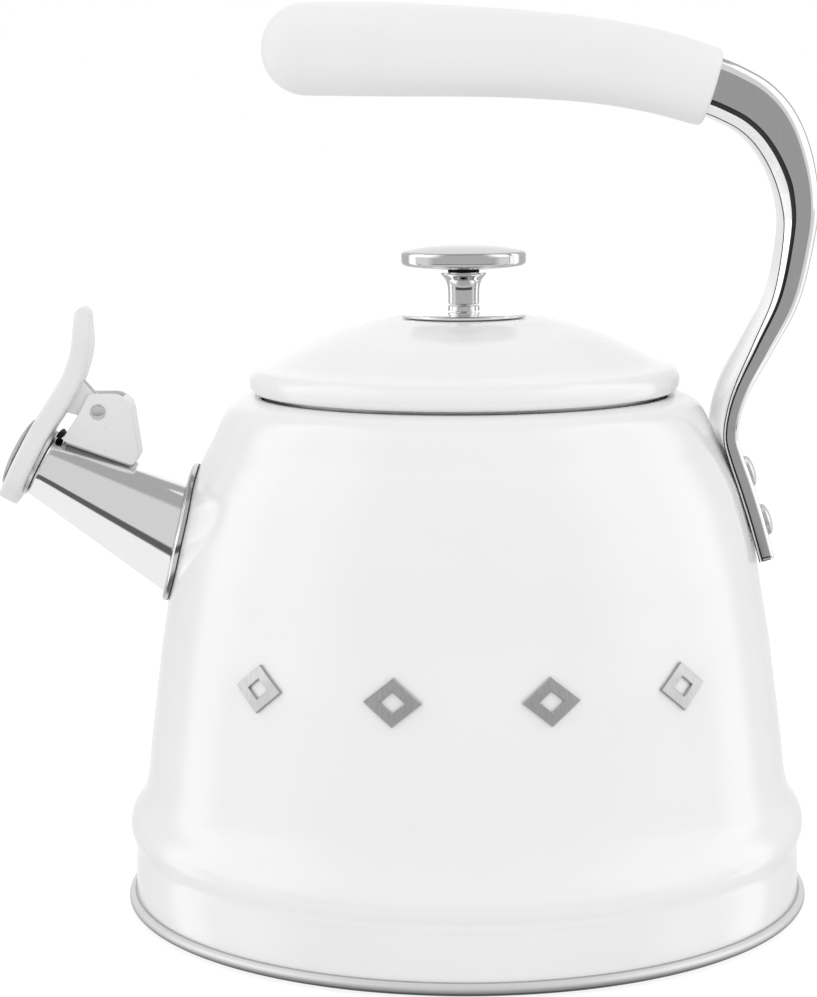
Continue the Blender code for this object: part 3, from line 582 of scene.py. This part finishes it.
def make_bracket():
    outline = mm_points((-103.4, 142.9), (-106.6, 137.2), (-111.0, 130.6), (-110.7, 130.0), (-110.2, 129.8),
                        (-92.4, 123.3), (-91.6, 123.4), (-91.0, 123.9), (-90.0, 125.9), (-91.7, 138.6),
                        (-92.3, 140.3), (-93.5, 141.6), (-95.2, 142.6), (-96.8, 142.9))
    half, inner_half = 6.0 * MM, 4.1 * MM
    bracket = round_edges(extruded("hinge_bracket_moulded", outline, -half, half), 0.45 * MM)
    # A pad between the cheeks stands on the spout; the cheeks stop just above it.
    pad = mm_points((-109.4, 131.0), (-110.0, 126.0), (-95.0, 121.0), (-94.4, 127.0))
    cut(bracket, extruded("bracket_pad", pad, -1.5 * MM, 1.5 * MM), operation="UNION")
    # The channel is open towards the flap and stops at an end wall towards the vessel.
    floor = [above_spout(depth, 2.4 * MM) for depth in (-8 * MM, 19.5 * MM)]
    roof = mm_points((-94.6, 150.0), (-128.0, 150.0))
    channel = extruded("channel", [(p.x, p.z) for p in floor] + [(x, z) for x, z in roof],
                       -inner_half, inner_half)
    seat = spout_cone(0.3 * MM)
    bore = turned("bore", both_ends(mm_points((0, 9.0), (2.3, 9.0), (2.3, 5.2), (1.45, 5.2))),
                  PIN, -Y, ROUND_SMALL)
    cut(bracket, channel, seat, bore)
    finish(bracket, PLASTIC, "kettle", ["hinge_bracket"])

    head = mm_points((0, 5.65), (1.2, 5.63), (1.6, 5.53), (1.85, 5.33), (1.85, 5.2), (1.2, 5.2))
    pin = turned("hinge_pin_headed", both_ends(head), PIN, -Y, ROUND_SMALL)
    finish(pin, PIN_STEEL, "kettle", ["hinge_pin"])

    sheet = mm_points((-110.0, 129.7), (-110.1, 129.3), (-92.6, 122.95), (-92.3, 123.3))
    gasket = extruded("bracket_gasket", sheet, -5.6 * MM, 5.6 * MM)
    cut(gasket, spout_cone(0.1 * MM))
    finish(gasket, GASKET_RUBBER, "kettle")

    block = mm_points((-113.1, 131.0), (-111.6, 130.4), (-110.9, 131.3), (-111.5, 132.4), (-112.2, 132.4))
    stop = round_edges(extruded("flap_stop_rubber", block, -4 * MM, 4 * MM), 0.15 * MM, 2)
    finish(stop, DARK_RUBBER_AND_NECK_SHADE, "kettle")


def rounded_box(half_width, low, high, radius, corner_steps=5):
    """A rounded rectangle as (side, out) points."""
    radius = max(min(radius, half_width * 0.95, (high - low) * 0.475), 0.01 * MM)
    points = []
    for side, out, start in ((1, high, 0), (-1, high, 90), (-1, low, 180), (1, low, 270)):
        centre_side = side * (half_width - radius)
        centre_out = out - radius if out == high else out + radius
        points += arc((centre_side, centre_out), radius, start, start + 90, corner_steps)
    return points


def at_height(outline, up):
    """The value of a rising (value, up) outline at a height."""
    for (v1, u1), (v2, u2) in zip(outline, outline[1:]):
        if u1 <= up <= u2:
            return v1 + (v2 - v1) * (up - u1) / max(u2 - u1, 1e-9)
    return outline[-1][0] if up > outline[-1][1] else outline[0][0]


def make_flap():
    """The flap: a dished disc over the mouth that runs up into a curved finger tab."""
    outer = smooth(mm_points((5.9, -13.4), (6.8, -12.4), (6.8, -6.0), (6.8, 4.0), (6.8, 10.8), (6.0, 20.0),
                             (5.65, 26.0), (6.9, 33.9), (9.9, 41.6), (10.1, 43.2), (9.6, 44.6),
                             (8.6, 45.2)), 4)
    inner = smooth(mm_points((2.4, -13.5), (1.4, -12.4), (1.4, -6.0), (1.4, 2.0), (1.4, 9.0), (0.3, 19.0),
                             (0.2, 27.5), (2.1, 35.6), (5.2, 41.4), (6.3, 43.6), (7.2, 44.8),
                             (8.0, 45.2)), 4)
    disc_radius, disc_up, tip_up = 13.6 * MM, 0.5 * MM, 45.2 * MM
    tab = smooth(mm_points((8.6, 8.0), (8.0, 17.0), (7.4, 28.0), (7.7, 36.0), (7.4, 40.0), (6.3, 43.0),
                           (4.4, 44.6), (2.0, 45.2)), 4)

    def half_width(up):
        reach = disc_radius ** 2 - (up - disc_up) ** 2
        circle = math.sqrt(reach) if reach > 0 else 0
        shank = at_height(tab, up) if up > 8 * MM else 0
        return max(circle, shank, 0.4 * MM)

    low, spans = disc_up - disc_radius, 72
    heights = [low + (tip_up - low) * (1 - math.cos(math.pi * i / spans)) / 2 for i in range(spans + 1)]
    sections = []
    for up in heights:
        width = half_width(up)
        near, far = at_height(inner, up), at_height(outer, up)
        middle, half = (near + far) / 2, max((far - near) / 2, 0.3 * MM)
        ring = rounded_box(width, middle - half, middle + half, 1.3 * MM)
        sections.append([on_spout(out, up, side) for side, out in ring])
    lever = lofted("flap_lever_moulded", sections)
    chamber = turned("chamber", [(0, 14 * MM), (7 * MM, 14 * MM), (7 * MM, -4 * MM), (0, -4 * MM)],
                     on_spout(0, disc_up), SPOUT_AXIS, ROUND_SMALL)
    cut(lever, chamber)
    finish(lever, PLASTIC, "flap", ["flap_lever"])

    ear = arc((PIN.x, PIN.z), 3.2 * MM, -70, 90, 16)
    ear += [Vector((p.x, p.z)) for p in (on_spout(1.6 * MM, 27.0 * MM), on_spout(1.6 * MM, 16.5 * MM))]
    for side, sign in (("near", -1), ("far", 1)):
        lug = extruded(f"flap_ear_{side}", ear, (sign * 3.0 - 0.75) * MM, (sign * 3.0 + 0.75) * MM)
        round_edges(lug, 0.2 * MM, 2)
        bore = turned("ear_bore", [(0, 9 * MM), (1.4 * MM, 9 * MM), (1.4 * MM, -9 * MM), (0, -9 * MM)],
                      PIN, -Y, 32)
        cut(lug, bore)
        finish(lug, PLASTIC, "flap")

    outer_face = 6.8 * MM
    dome = [(1.6, 1.25), (3.4, 1.18), (5.2, 1.02), (7.2, 0.7), (8.8, 0.32), (9.6, 0.05), (9.9, -0.15),
            (9.9, -0.4), (9.6, -0.6), (6.4, -0.6), (6.4, -3.0), (5.6, -3.0), (5.4, -0.4), (1.6, 0.3)]
    cap = turned("whistle_cap_domed", [Vector(p) * MM for p in dome],
                 on_spout(outer_face + 0.9 * MM, disc_up), SPOUT_AXIS, ROUND_SMALL * 2)
    finish(cap, FIXING_STEEL, "flap", ["whistle_cap"])
    plate = [(1.6, 0.75), (5.2, 1.9), (6.4, 1.9), (6.6, 1.05), (9.7, 1.05), (9.8, 0.95), (9.8, 0.15),
             (9.7, 0), (6.0, 0), (5.0, 0.9), (1.6, 0.0)]
    seat = turned("whistle_seat_plate", [Vector(p) * MM for p in plate], on_spout(0.3 * MM, disc_up),
                  SPOUT_AXIS, ROUND_SMALL * 2)
    finish(seat, PIN_STEEL, "flap", ["whistle_seat"])


def make_spring():
    """The torsion spring on the pin, with one leg towards the flap and one leg down to the bracket's floor.
    """
    coil_radius, turns, pitch, per_turn = 2.25 * MM, 3.5, 0.85 * MM, 28
    start = math.radians(205)
    first = -pitch * turns / 2
    coil = []
    for i in range(int(turns * per_turn) + 1):
        angle = start - 2 * math.pi * i / per_turn
        coil.append(Vector((PIN.x + coil_radius * math.cos(angle), first + pitch * i / per_turn,
                            PIN.z + coil_radius * math.sin(angle))))
    flap_leg = on_spout(-0.75 * MM, 19.2 * MM, first)
    floor_leg = above_spout(12 * MM, 3.2 * MM) - Y * first
    curve = bpy.data.curves.new("spring_path", "CURVE")
    curve.dimensions = "3D"
    curve.bevel_depth = 0.33 * MM
    curve.bevel_resolution = 3
    curve.use_fill_caps = True
    points = [flap_leg, *coil, floor_leg]
    spline = curve.splines.new("POLY")
    spline.points.add(len(points) - 1)
    for point, place in zip(spline.points, points):
        point.co = (*place, 1)
    path = bpy.data.objects.new("spring_path", curve)
    bpy.context.scene.collection.objects.link(path)
    bpy.context.view_layer.update()
    mesh = bpy.data.meshes.new_from_object(path.evaluated_get(bpy.context.evaluated_depsgraph_get()))
    bpy.data.objects.remove(path)
    build = bmesh.new()
    build.from_mesh(mesh)
    spring = close_up("hinge_spring_wire", build)
    spring.data.materials.append(SPRING_STEEL)
    spring.data.shade_smooth()
    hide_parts("hinge_spring")
    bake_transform(spring)


# ---------------------------------------------------------------- handle

def runs_along(spine):
    """The spine's direction at each of its points."""
    last = len(spine) - 1
    return [(spine[min(i + 1, last)] - spine[max(i - 1, 0)]).normalized() for i in range(last + 1)]


# Material numbers of the half section's sides, from the middle of its outer face to its inner one; the
# groove, the flat side and the inner face take painted shade
POLISHED, GROOVE_PAINTED_SHADE_KIND, FLAT_PAINTED_SHADE_KIND, INNER_PAINTED_SHADE_KIND = range(4)
ARM_KINDS = ((POLISHED,) * 4 + (FLAT_PAINTED_SHADE_KIND,) * 3 + (POLISHED,) * 3 + (FLAT_PAINTED_SHADE_KIND,) * 8 + (GROOVE_PAINTED_SHADE_KIND,) * 3 + (POLISHED,) * 2
             + (GROOVE_PAINTED_SHADE_KIND,) * 2 + (INNER_PAINTED_SHADE_KIND,) * 5)


def arm_section(width, thickness, crown, hollow):
    """Half of the arm's section as (side, out), from the middle of its outer face to its inner one."""
    half, top = width / 2, thickness / 2
    drop, reach = min(3.6 * MM, 0.3 * thickness), min(3.0 * MM, 0.25 * thickness)
    share = min(thickness / (11 * MM), 1)       # the lower, thinner part has a narrower bevel and groove
    chamfer = 2.6 * MM * share ** 1.5
    groove = 1.4 * MM * share ** 1.2
    deep = min(1.3 * MM, 0.2 * thickness)
    edge = 0.25 * MM
    flat, side_top = half - reach, top - drop
    points = [Vector((flat * t, top + crown * (1 - (t * flat / half) ** 2)))
              for t in (0, 0.25, 0.5, 0.75, 1)]
    brow = points[-1][1] - side_top
    points += [Vector((flat + reach * math.sin(a), side_top + brow * math.cos(a)))
               for a in (math.radians(d) for d in (13, 26, 39, 52, 65, 78, 88))]
    side_low = -top + chamfer + groove
    points += [Vector((half + 0.02 * MM * math.sin(math.pi * t), side_top + (side_low - side_top) * t))
               for t in (0.1, 0.25, 0.42, 0.6, 0.8, 0.97)]
    points += [Vector((half, side_low)), Vector((half - deep, side_low - groove * 0.12)),
               Vector((half - deep, side_low - groove * 0.88)),
               Vector((half - edge * 0.8, side_low - groove))]
    inset = chamfer * 0.85
    points += [Vector((half - edge * 1.6, side_low - groove - edge * 0.3)),
               Vector((half - inset, -top + edge)), Vector((half - inset - edge * 0.8, -top + edge * 0.1)),
               Vector((half - inset - edge * 2.2, -top))]
    last = (half - inset - edge * 2.2)
    points += [Vector((last * t, -top + hollow * (1 - t * t))) for t in (0.85, 0.65, 0.4, 0.2, 0)]
    return points


def arm_stations():
    """The arm from inside the grip to its lower end: x, z, thickness, width, outer crown, inner hollow."""
    return smooth(mm_points(
        (65.7, 226.2, 15.2, 17.5, 0.5, -0.5), (72.0, 223.6, 15.1, 17.5, 0.5, -0.5),
        (78.9, 219.7, 14.8, 17.5, 0.45, -0.5),
        (84.6, 213.6, 13.8, 17.5, 0.35, -0.5), (89.0, 204.6, 12.0, 17.5, 0.3, -0.4),
        (91.3, 194.4, 10.2, 18.0, 0.3, -0.2), (91.1, 184.6, 8.6, 18.5, 0.35, 0.0),
        (87.7, 168.4, 7.2, 20.5, 0.6, 0.2), (81.2, 155.6, 5.8, 27.0, 0.8, 0.8),
        (75.2, 144.8, 4.5, 34.0, 0.9, 1.4), (72.6, 137.4, 4.0, 36.0, 0.9, 1.8),
        (71.9, 131.0, 4.0, 36.0, 0.9, 2.0), (73.3, 125.4, 4.2, 36.0, 0.9, 2.1),
        (76.1, 117.4, 4.4, 36.0, 0.9, 2.1), (79.1, 108.0, 4.3, 36.0, 0.9, 2.1),
        (82.2, 97.1, 4.2, 35.8, 0.8, 1.9)), steps=8)


def make_arm():
    stations = arm_stations()
    # The lower end's corners are rounded by a few closer and narrower sections.
    corner = 0.9 * MM
    tail, tip = stations[-2:]
    length = math.dist(tail[:2], tip[:2])
    stations[-1:] = [[a + (b - a) * (1 - left * corner / length) for a, b in zip(tail, tip)]
                     for left in (1, 0.62, 0.3, 0.08, 0)]
    spine = [Vector((s[0], 0, s[1])) for s in stations]
    sections = []
    for station, centre, run in zip(stations, spine, runs_along(spine)):
        left = (spine[-1] - centre).length
        inset = corner - math.sqrt(max(corner ** 2 - (corner - left) ** 2, 0)) if left < corner else 0
        half = arm_section(station[3] - 2 * inset, station[2], station[4], station[5])
        ring = half + [Vector((-side, out)) for side, out in reversed(half[1:-1])]
        outward = run.cross(Y)
        sections.append([centre + Y * side + outward * out for side, out in ring])
    arm = lofted("handle_arm_polished", sections, ARM_KINDS + ARM_KINDS[::-1])
    finish(arm, ARM_STEEL, "kettle", ["handle_strap"], sharp=28,
           others=[GROOVE_PAINTED_SHADE, ARM_FLAT_PAINTED_SHADE, ARM_INNER_PAINTED_SHADE])


def grip_stations():
    """The grip's (x, z, height, width) from the last full section at its left end to its face."""
    return smooth(mm_points((-42.5, 236.3, 25.0, 25.0), (-21.0, 236.05, 25.3, 25.4),
                            (4.4, 235.15, 24.1, 24.6), (21.0, 234.1, 23.4, 23.8),
                            (36.5, 232.5, 22.8, 23.0), (52.3, 229.6, 22.3, 22.4),
                            (68.3, 224.9, 21.4, 21.6)), steps=8)


def oval(centre, out, width, height, squareness=0.85, count=96):
    ring = []
    for i in range(count):
        c, s = math.cos(2 * math.pi * i / count), math.sin(2 * math.pi * i / count)
        across = math.copysign(abs(c) ** squareness, c) * width / 2
        lift = math.copysign(abs(s) ** squareness, s) * height / 2
        ring.append(centre + Y * across + out * lift)
    return ring


def make_grip():
    stations = grip_stations()
    spine = [Vector((s[0], 0, s[1])) for s in stations]
    runs = runs_along(spine)
    sections = []
    cap_length = 12.4 * MM
    for degrees in (88, 84, 79, 73, 66, 58, 50, 42, 34, 26, 18, 10):
        angle = math.radians(degrees)
        centre = spine[0] - X * cap_length * math.sin(angle)
        sections.append(oval(centre, Z, stations[0][3] * math.cos(angle), stations[0][2] * math.cos(angle)))
    rounding = 1.2 * MM
    face = spine[-1] - runs[-1] * 0.5 * MM
    for station, centre, run in zip(stations, spine, runs):
        if (spine[-1] - centre).length > rounding + 0.6 * MM:
            sections.append(oval(centre, run.cross(Y), station[3], station[2]))
    for degrees in (0, 20, 40, 60, 78, 90):
        angle = math.radians(degrees)
        inset = rounding * (1 - math.cos(angle))
        centre = face - runs[-1] * rounding * (1 - math.sin(angle))
        height, width = stations[-1][2:]
        sections.append(oval(centre, runs[-1].cross(Y), width - 2 * inset, height - 2 * inset))
    grip = lofted("grip_soft_touch", sections)
    finish(grip, SOFT_TOUCH, "kettle", ["grip"], sharp=50)


def make_rivets():
    """Two domed heads outside the arm, each with its own height, and their tails inside the wall."""
    slope = math.radians(17.0)
    outward = Vector((math.cos(slope), 0, math.sin(slope)))
    inner_face = -BODY_WALL - 2.0 * MM
    head = 4.45 * MM
    for place, height, top in (("upper", 118.4 * MM, 3.5 * MM), ("lower", 104.6 * MM, 4.1 * MM)):
        dome = [(head * math.sin(a), top + 0.7 * MM + 1.6 * MM * math.cos(a))
                for a in (math.radians(6 * i) for i in range(16))]
        tail = [(head, top + 0.15 * MM), (head - 0.15 * MM, top), (2.4 * MM, top), (2.4 * MM, inner_face),
                (4.2 * MM, inner_face), (4.0 * MM, inner_face - 0.7 * MM),
                (3.4 * MM, inner_face - 1.3 * MM), (0, inner_face - 1.6 * MM)]
        rivet = turned(f"handle_rivet_{place}_domed", dome + tail, Vector((wall_radius(height), 0, height)),
                       outward, ROUND_SMALL)
        finish(rivet, RIVET_STEEL, "kettle", [f"handle_rivet_{place}"])


# ---------------------------------------------------------------- lid and knob

def make_lid():
    crown = smooth(mm_points((20.1, 163.0), (24.2, 162.4), (27.5, 161.6), (31.5, 160.6), (36.0, 159.2),
                             (40.0, 157.6), (43.8, 155.8), (46.7, 154.3), (49.8, 152.7), (52.3, 151.4),
                             (54.9, 150.4), (57.0, 149.7), (58.2, 148.8), (58.95, 147.9), (59.35, 146.8),
                             (59.4, 145.6), (59.2, 144.5), (58.6, 143.5), (57.7, 143.0), (56.6, 142.9)), 4)
    outside = [Vector((2.3 * MM, LID_HIGH.z)), Vector((12 * MM, LID_HIGH.z)), *crown]
    inside = offset(outside, -LID_WALL)
    lid = turned("lid_enamel", outside + inside[::-1])
    finish(lid, ENAMEL, "lid", ["lid_shell"])

    ring = smooth(mm_points((50.8, 150.6), (52.8, 149.9), (54.4, 149.0), (55.2, 147.8), (55.2, 145.0),
                            (55.2, 140.0), (55.2, 134.6)), 4)
    ring += arc((54.8 * MM, 134.2 * MM), 0.4 * MM, 0, -90, 4)
    skirt = turned("lid_ring", ring + offset(ring, -0.8 * MM)[::-1])
    finish(skirt, FIXING_STEEL, "lid", ["lid_skirt"])


def make_knob():
    dome = smooth(mm_points((0.01, 182.9), (5.0, 182.8), (10.0, 182.45), (14.0, 181.85), (16.2, 181.4),
                            (16.8, 181.2), (17.15, 180.85)), 4)
    rim = mm_points((17.24, 180.5), (17.25, 180.2), (17.245, 178.5), (17.23, 178.3), (17.1, 177.95))
    under = smooth(mm_points((16.8, 177.65), (16.3, 177.35), (14.0, 176.9), (10.0, 176.55),
                             (6.3, 176.4)), 4)
    groove = mm_points((4.0, 176.3), (4.0, 175.3))
    stem = smooth(mm_points((6.2, 175.35), (6.3, 175.1), (6.15, 174.75), (5.8, 174.3), (5.3, 173.7),
                            (4.96, 173.2), (4.6, 172.2), (4.38, 171.0), (4.31, 169.5), (4.3, 168.0),
                            (4.3, 166.95)), 4)
    foot = [Vector((4.1 * MM, KNOB_LOW.z)), Vector((0, KNOB_LOW.z))]
    top = Vector((0, KNOB_HIGH.z))
    knob = turned("knob_turned", [top, *dome[1:], *rim, *under, *groove, *stem, *foot])
    finish(knob, CHROME, "lid", ["knob"])
    # A near-black ring in the groove under the head: painted shade where the head's shadow and dark
    # reflection fall on the top of the stem.
    neck = mm_points((3.8, 176.35), (4.4, 176.35), (4.3, 175.9), (4.3, 175.4), (3.8, 175.4))
    finish(turned("knob_neck_painted_shade_ring", neck, segments=ROUND_SMALL), DARK_RUBBER_AND_NECK_SHADE, "lid")

    low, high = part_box("knob_collar")
    collar = turned("knob_stem_collar", [(0, high.z), (4.15 * MM, high.z), (4.35 * MM, high.z - 0.2 * MM),
                                         (4.42 * MM, low.z), (0, low.z)], segments=ROUND_SMALL)
    finish(collar, CHROME, "lid", ["knob_collar"])
    low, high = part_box("knob_plate")
    rim = high.x
    plate = turned("knob_base_plate",
                   [(2.3 * MM, high.z), (12 * MM, high.z - 0.05 * MM), (15 * MM, high.z - 0.14 * MM),
                    (rim - 0.7 * MM, high.z - 0.3 * MM), (rim - 0.2 * MM, high.z - 0.5 * MM),
                    (rim, high.z - 0.75 * MM), (rim - 0.1 * MM, low.z + 0.15 * MM),
                    (rim - 0.4 * MM, low.z), (2.3 * MM, low.z)])
    finish(plate, PLATE_CHROME, "lid", ["knob_plate"])


# ---------------------------------------------------------------- front marks

def make_badges():
    """Four plain open lozenges that follow the wall's curve."""
    outer_size = Vector((7.6, 6.2)) * MM
    inner_share = 0.42
    per_side, low_face, high_face, bevel = 16, 0.1 * MM, 0.9 * MM, 0.16 * MM

    def corners(share, grow=0.0):
        wide, tall = outer_size * share
        slant = math.hypot(wide, tall)
        wide, tall = wide + grow * slant / tall, tall + grow * slant / wide
        return [Vector((wide, 0)), Vector((0, tall)), Vector((-wide, 0)), Vector((0, -tall))]

    def around(points):
        return [a + (b - a) * (i / per_side) for a, b in zip(points, points[1:] + points[:1])
                for i in range(per_side)]

    for number in range(1, 5):
        low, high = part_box(f"badge_{number}")
        middle = (low + high) / 2
        azimuth = math.atan2(middle.x, -middle.y)

        def place(point, lift):
            height = middle.z + point[1]
            radius = wall_radius(height)
            slope = math.atan2(wall_radius(height - MM) - wall_radius(height + MM), 2 * MM)
            angle = azimuth + point[0] / radius
            radius += lift * math.cos(slope)
            return Vector((radius * math.sin(angle), -radius * math.cos(angle),
                           height + lift * math.sin(slope)))

        loops = [(1, 0, low_face), (1, 0, high_face - bevel), (1, -bevel, high_face)]
        loops += [(1 - (1 - inner_share) * t, 0, high_face) for t in (0.25, 0.5, 0.75)]
        loops += [(inner_share, bevel, high_face), (inner_share, 0, high_face - bevel),
                  (inner_share, 0, low_face)]
        build = bmesh.new()
        rings = [[build.verts.new(place(p, lift)) for p in around(corners(share, grow))]
                 for share, grow, lift in loops]
        skin(build, rings, closed_path=True)
        badge = close_up(f"lozenge_{number}", build)
        finish(badge, BADGE_STEEL, "kettle", [f"badge_{number}"])


# ---------------------------------------------------------------- carried-over CAD pieces

def dress_cad_nodes():
    kinds = {"vessel_floor": ENAMEL, "base_core": ALUMINIUM, "bracket_rivet": FIXING_STEEL,
             "grip_core": NYLON, "tang_pin": FIXING_STEEL, "rivet_washer_upper": FIXING_STEEL,
             "rivet_washer_lower": FIXING_STEEL, "knob_screw": FIXING_STEEL, "knob_washer": FIXING_STEEL}
    for name, material in kinds.items():
        mesh = NODES[name].data
        mesh.materials.clear()
        mesh.materials.append(material)


# ---------------------------------------------------------------- camera, light and floor

def make_camera():
    camera = bpy.data.cameras.new("camera")
    camera.sensor_width = 36.0
    camera.lens = 93.36
    camera.clip_start, camera.clip_end = 0.01, 50
    eye = bpy.data.objects.new("camera", camera)
    bpy.context.scene.collection.objects.link(eye)
    pitch_down, yaw_left, roll = 0.1441, 0.0027, -0.0076
    eye.location = Vector((-13.73, -713.8, 216.1)) * MM
    turn = Matrix.Rotation(yaw_left, 3, "Z") @ Matrix.Rotation(math.pi / 2 - pitch_down, 3, "X")
    eye.rotation_euler = (turn @ Matrix.Rotation(roll, 3, "Z")).to_euler()
    bpy.context.scene.camera = eye


def flat_sheet(name, low, high, material):
    """A level rectangle of the studio, from (x, y, z) low to high."""
    build = bmesh.new()
    build.faces.new([build.verts.new(p) for p in ((low[0], low[1], low[2]), (high[0], low[1], low[2]),
                                                  (high[0], high[1], low[2]), (low[0], high[1], low[2]))])
    mesh = bpy.data.meshes.new(name)
    build.to_mesh(mesh)
    build.free()
    sheet = link(name, mesh)
    mesh.materials.append(material)
    return sheet


def make_floor():
    """A pale floor that only the camera sees."""
    made = Shader("pale_floor", roughness=0.9, specular=0.0)
    made.colour(made.noise(made.place, scale=3, detail=3), (0.19, 0.19, 0.19), (0.21, 0.21, 0.21))
    made.surface.inputs["Emission Color"].default_value = (1, 1, 1, 1)
    made.surface.inputs["Emission Strength"].default_value = 0.88
    floor = flat_sheet("floor", (-12, -12, 0), (12, 12, 0), made.material)
    for kind in ("glossy", "diffuse", "transmission"):
        setattr(floor, f"visible_{kind}", False)


def make_light():
    """A white room: soft boxes at both sides, dimmer in front, overhead and behind."""
    world = bpy.data.worlds.new("studio")
    bpy.context.scene.world = world
    world.use_nodes = True
    nodes, links = world.node_tree.nodes, world.node_tree.links
    nodes.clear()

    def maths(operation, *values):
        node = nodes.new("ShaderNodeMath")
        node.operation = operation
        for socket, value in zip(node.inputs, values):
            if isinstance(value, (int, float)):
                socket.default_value = value
            else:
                links.new(value, socket)
        return node.outputs[0]

    def step(value, start, end):
        node = nodes.new("ShaderNodeMapRange")
        node.interpolation_type = "SMOOTHSTEP"
        for socket, number in (("From Min", start), ("From Max", end)):
            node.inputs[socket].default_value = number
        links.new(value, node.inputs["Value"])
        return node.outputs["Result"]

    def ladder(value, *stops):
        """A level that runs straight from stop to stop, each an (angle, level)."""
        first, last = stops[0][0], stops[-1][0]
        ramp = nodes.new("ShaderNodeValToRGB")
        elements = ramp.color_ramp.elements
        for element, (angle, level) in zip(elements, (stops[0], stops[-1])):
            element.color = (level, level, level, 1)
        for angle, level in stops[1:-1]:
            elements.new((angle - first) / (last - first)).color = (level, level, level, 1)
        links.new(maths("DIVIDE", maths("SUBTRACT", value, first), last - first), ramp.inputs["Fac"])
        return ramp.outputs["Color"]

    def blend(share, low, high):
        node = nodes.new("ShaderNodeMix")
        sockets = (node.inputs["Factor"], node.inputs["A"], node.inputs["B"])
        for socket, value in zip(sockets, (share, low, high)):
            if isinstance(value, (int, float)):
                socket.default_value = value
            else:
                links.new(value, socket)
        return node.outputs["Result"]

    split = nodes.new("ShaderNodeSeparateXYZ")
    links.new(nodes.new("ShaderNodeTexCoord").outputs["Generated"], split.inputs[0])
    toward = maths("MULTIPLY", split.outputs["Y"], -1.0)
    azimuth = maths("DEGREES", maths("ARCTAN2", split.outputs["X"], toward))
    turn = maths("ABSOLUTE", azimuth)
    rise = maths("DEGREES", maths("ARCSINE", split.outputs["Z"]))
    upper = ladder(turn, (0, 0.66), (42, 0.66), (68, 1.75), (92, 1.75), (97, 2.2), (112, 2.2),
                   (124, 0.78), (150, 0.78), (168, 1.1), (180, 1.1))
    upper = blend(step(rise, 56, 64), upper, 0.4)
    sides = ladder(turn, (0, 1.05), (98, 1.05), (103, 1.8), (117, 1.8), (124, 0.72), (150, 0.72),
                   (168, 0.95), (180, 0.95))
    front = ladder(rise, (-90, 0.9), (-26, 0.9), (-24, 0.11), (-12.5, 0.11), (-11, 0.66), (0, 0.66))
    ground = ladder(rise, (-90, 0.2), (-66, 0.2), (-52, 0.9), (0, 0.9))
    lower = blend(step(turn, 55, 75), front, sides)
    lower = blend(step(rise, -30, -26), ground, lower)
    level = blend(step(rise, -1, 1), lower, upper)
    # Matt surfaces get even light; the room is what the gloss reflects, and the camera sees plain white.
    path = nodes.new("ShaderNodeLightPath")
    even = ladder(rise, (-90, 0.55), (-40, 0.93), (0, 1.02), (90, 0.99))
    level = blend(path.outputs["Is Diffuse Ray"], level, even)
    level = blend(path.outputs["Is Camera Ray"], level, 1.0)
    background = nodes.new("ShaderNodeBackground")
    links.new(level, background.inputs["Strength"])
    links.new(background.outputs[0], nodes.new("ShaderNodeOutputWorld").inputs["Surface"])
    background.inputs["Color"].default_value = (1, 1, 1, 1)


make_camera()
make_floor()
make_light()
bpy.context.scene.view_settings.view_transform = "Standard"
make_vessel()
make_base()
make_spout()
make_collar()
make_bracket()
make_flap()
make_spring()
make_arm()
make_grip()
make_rivets()
make_lid()
make_knob()
make_badges()
dress_cad_nodes()
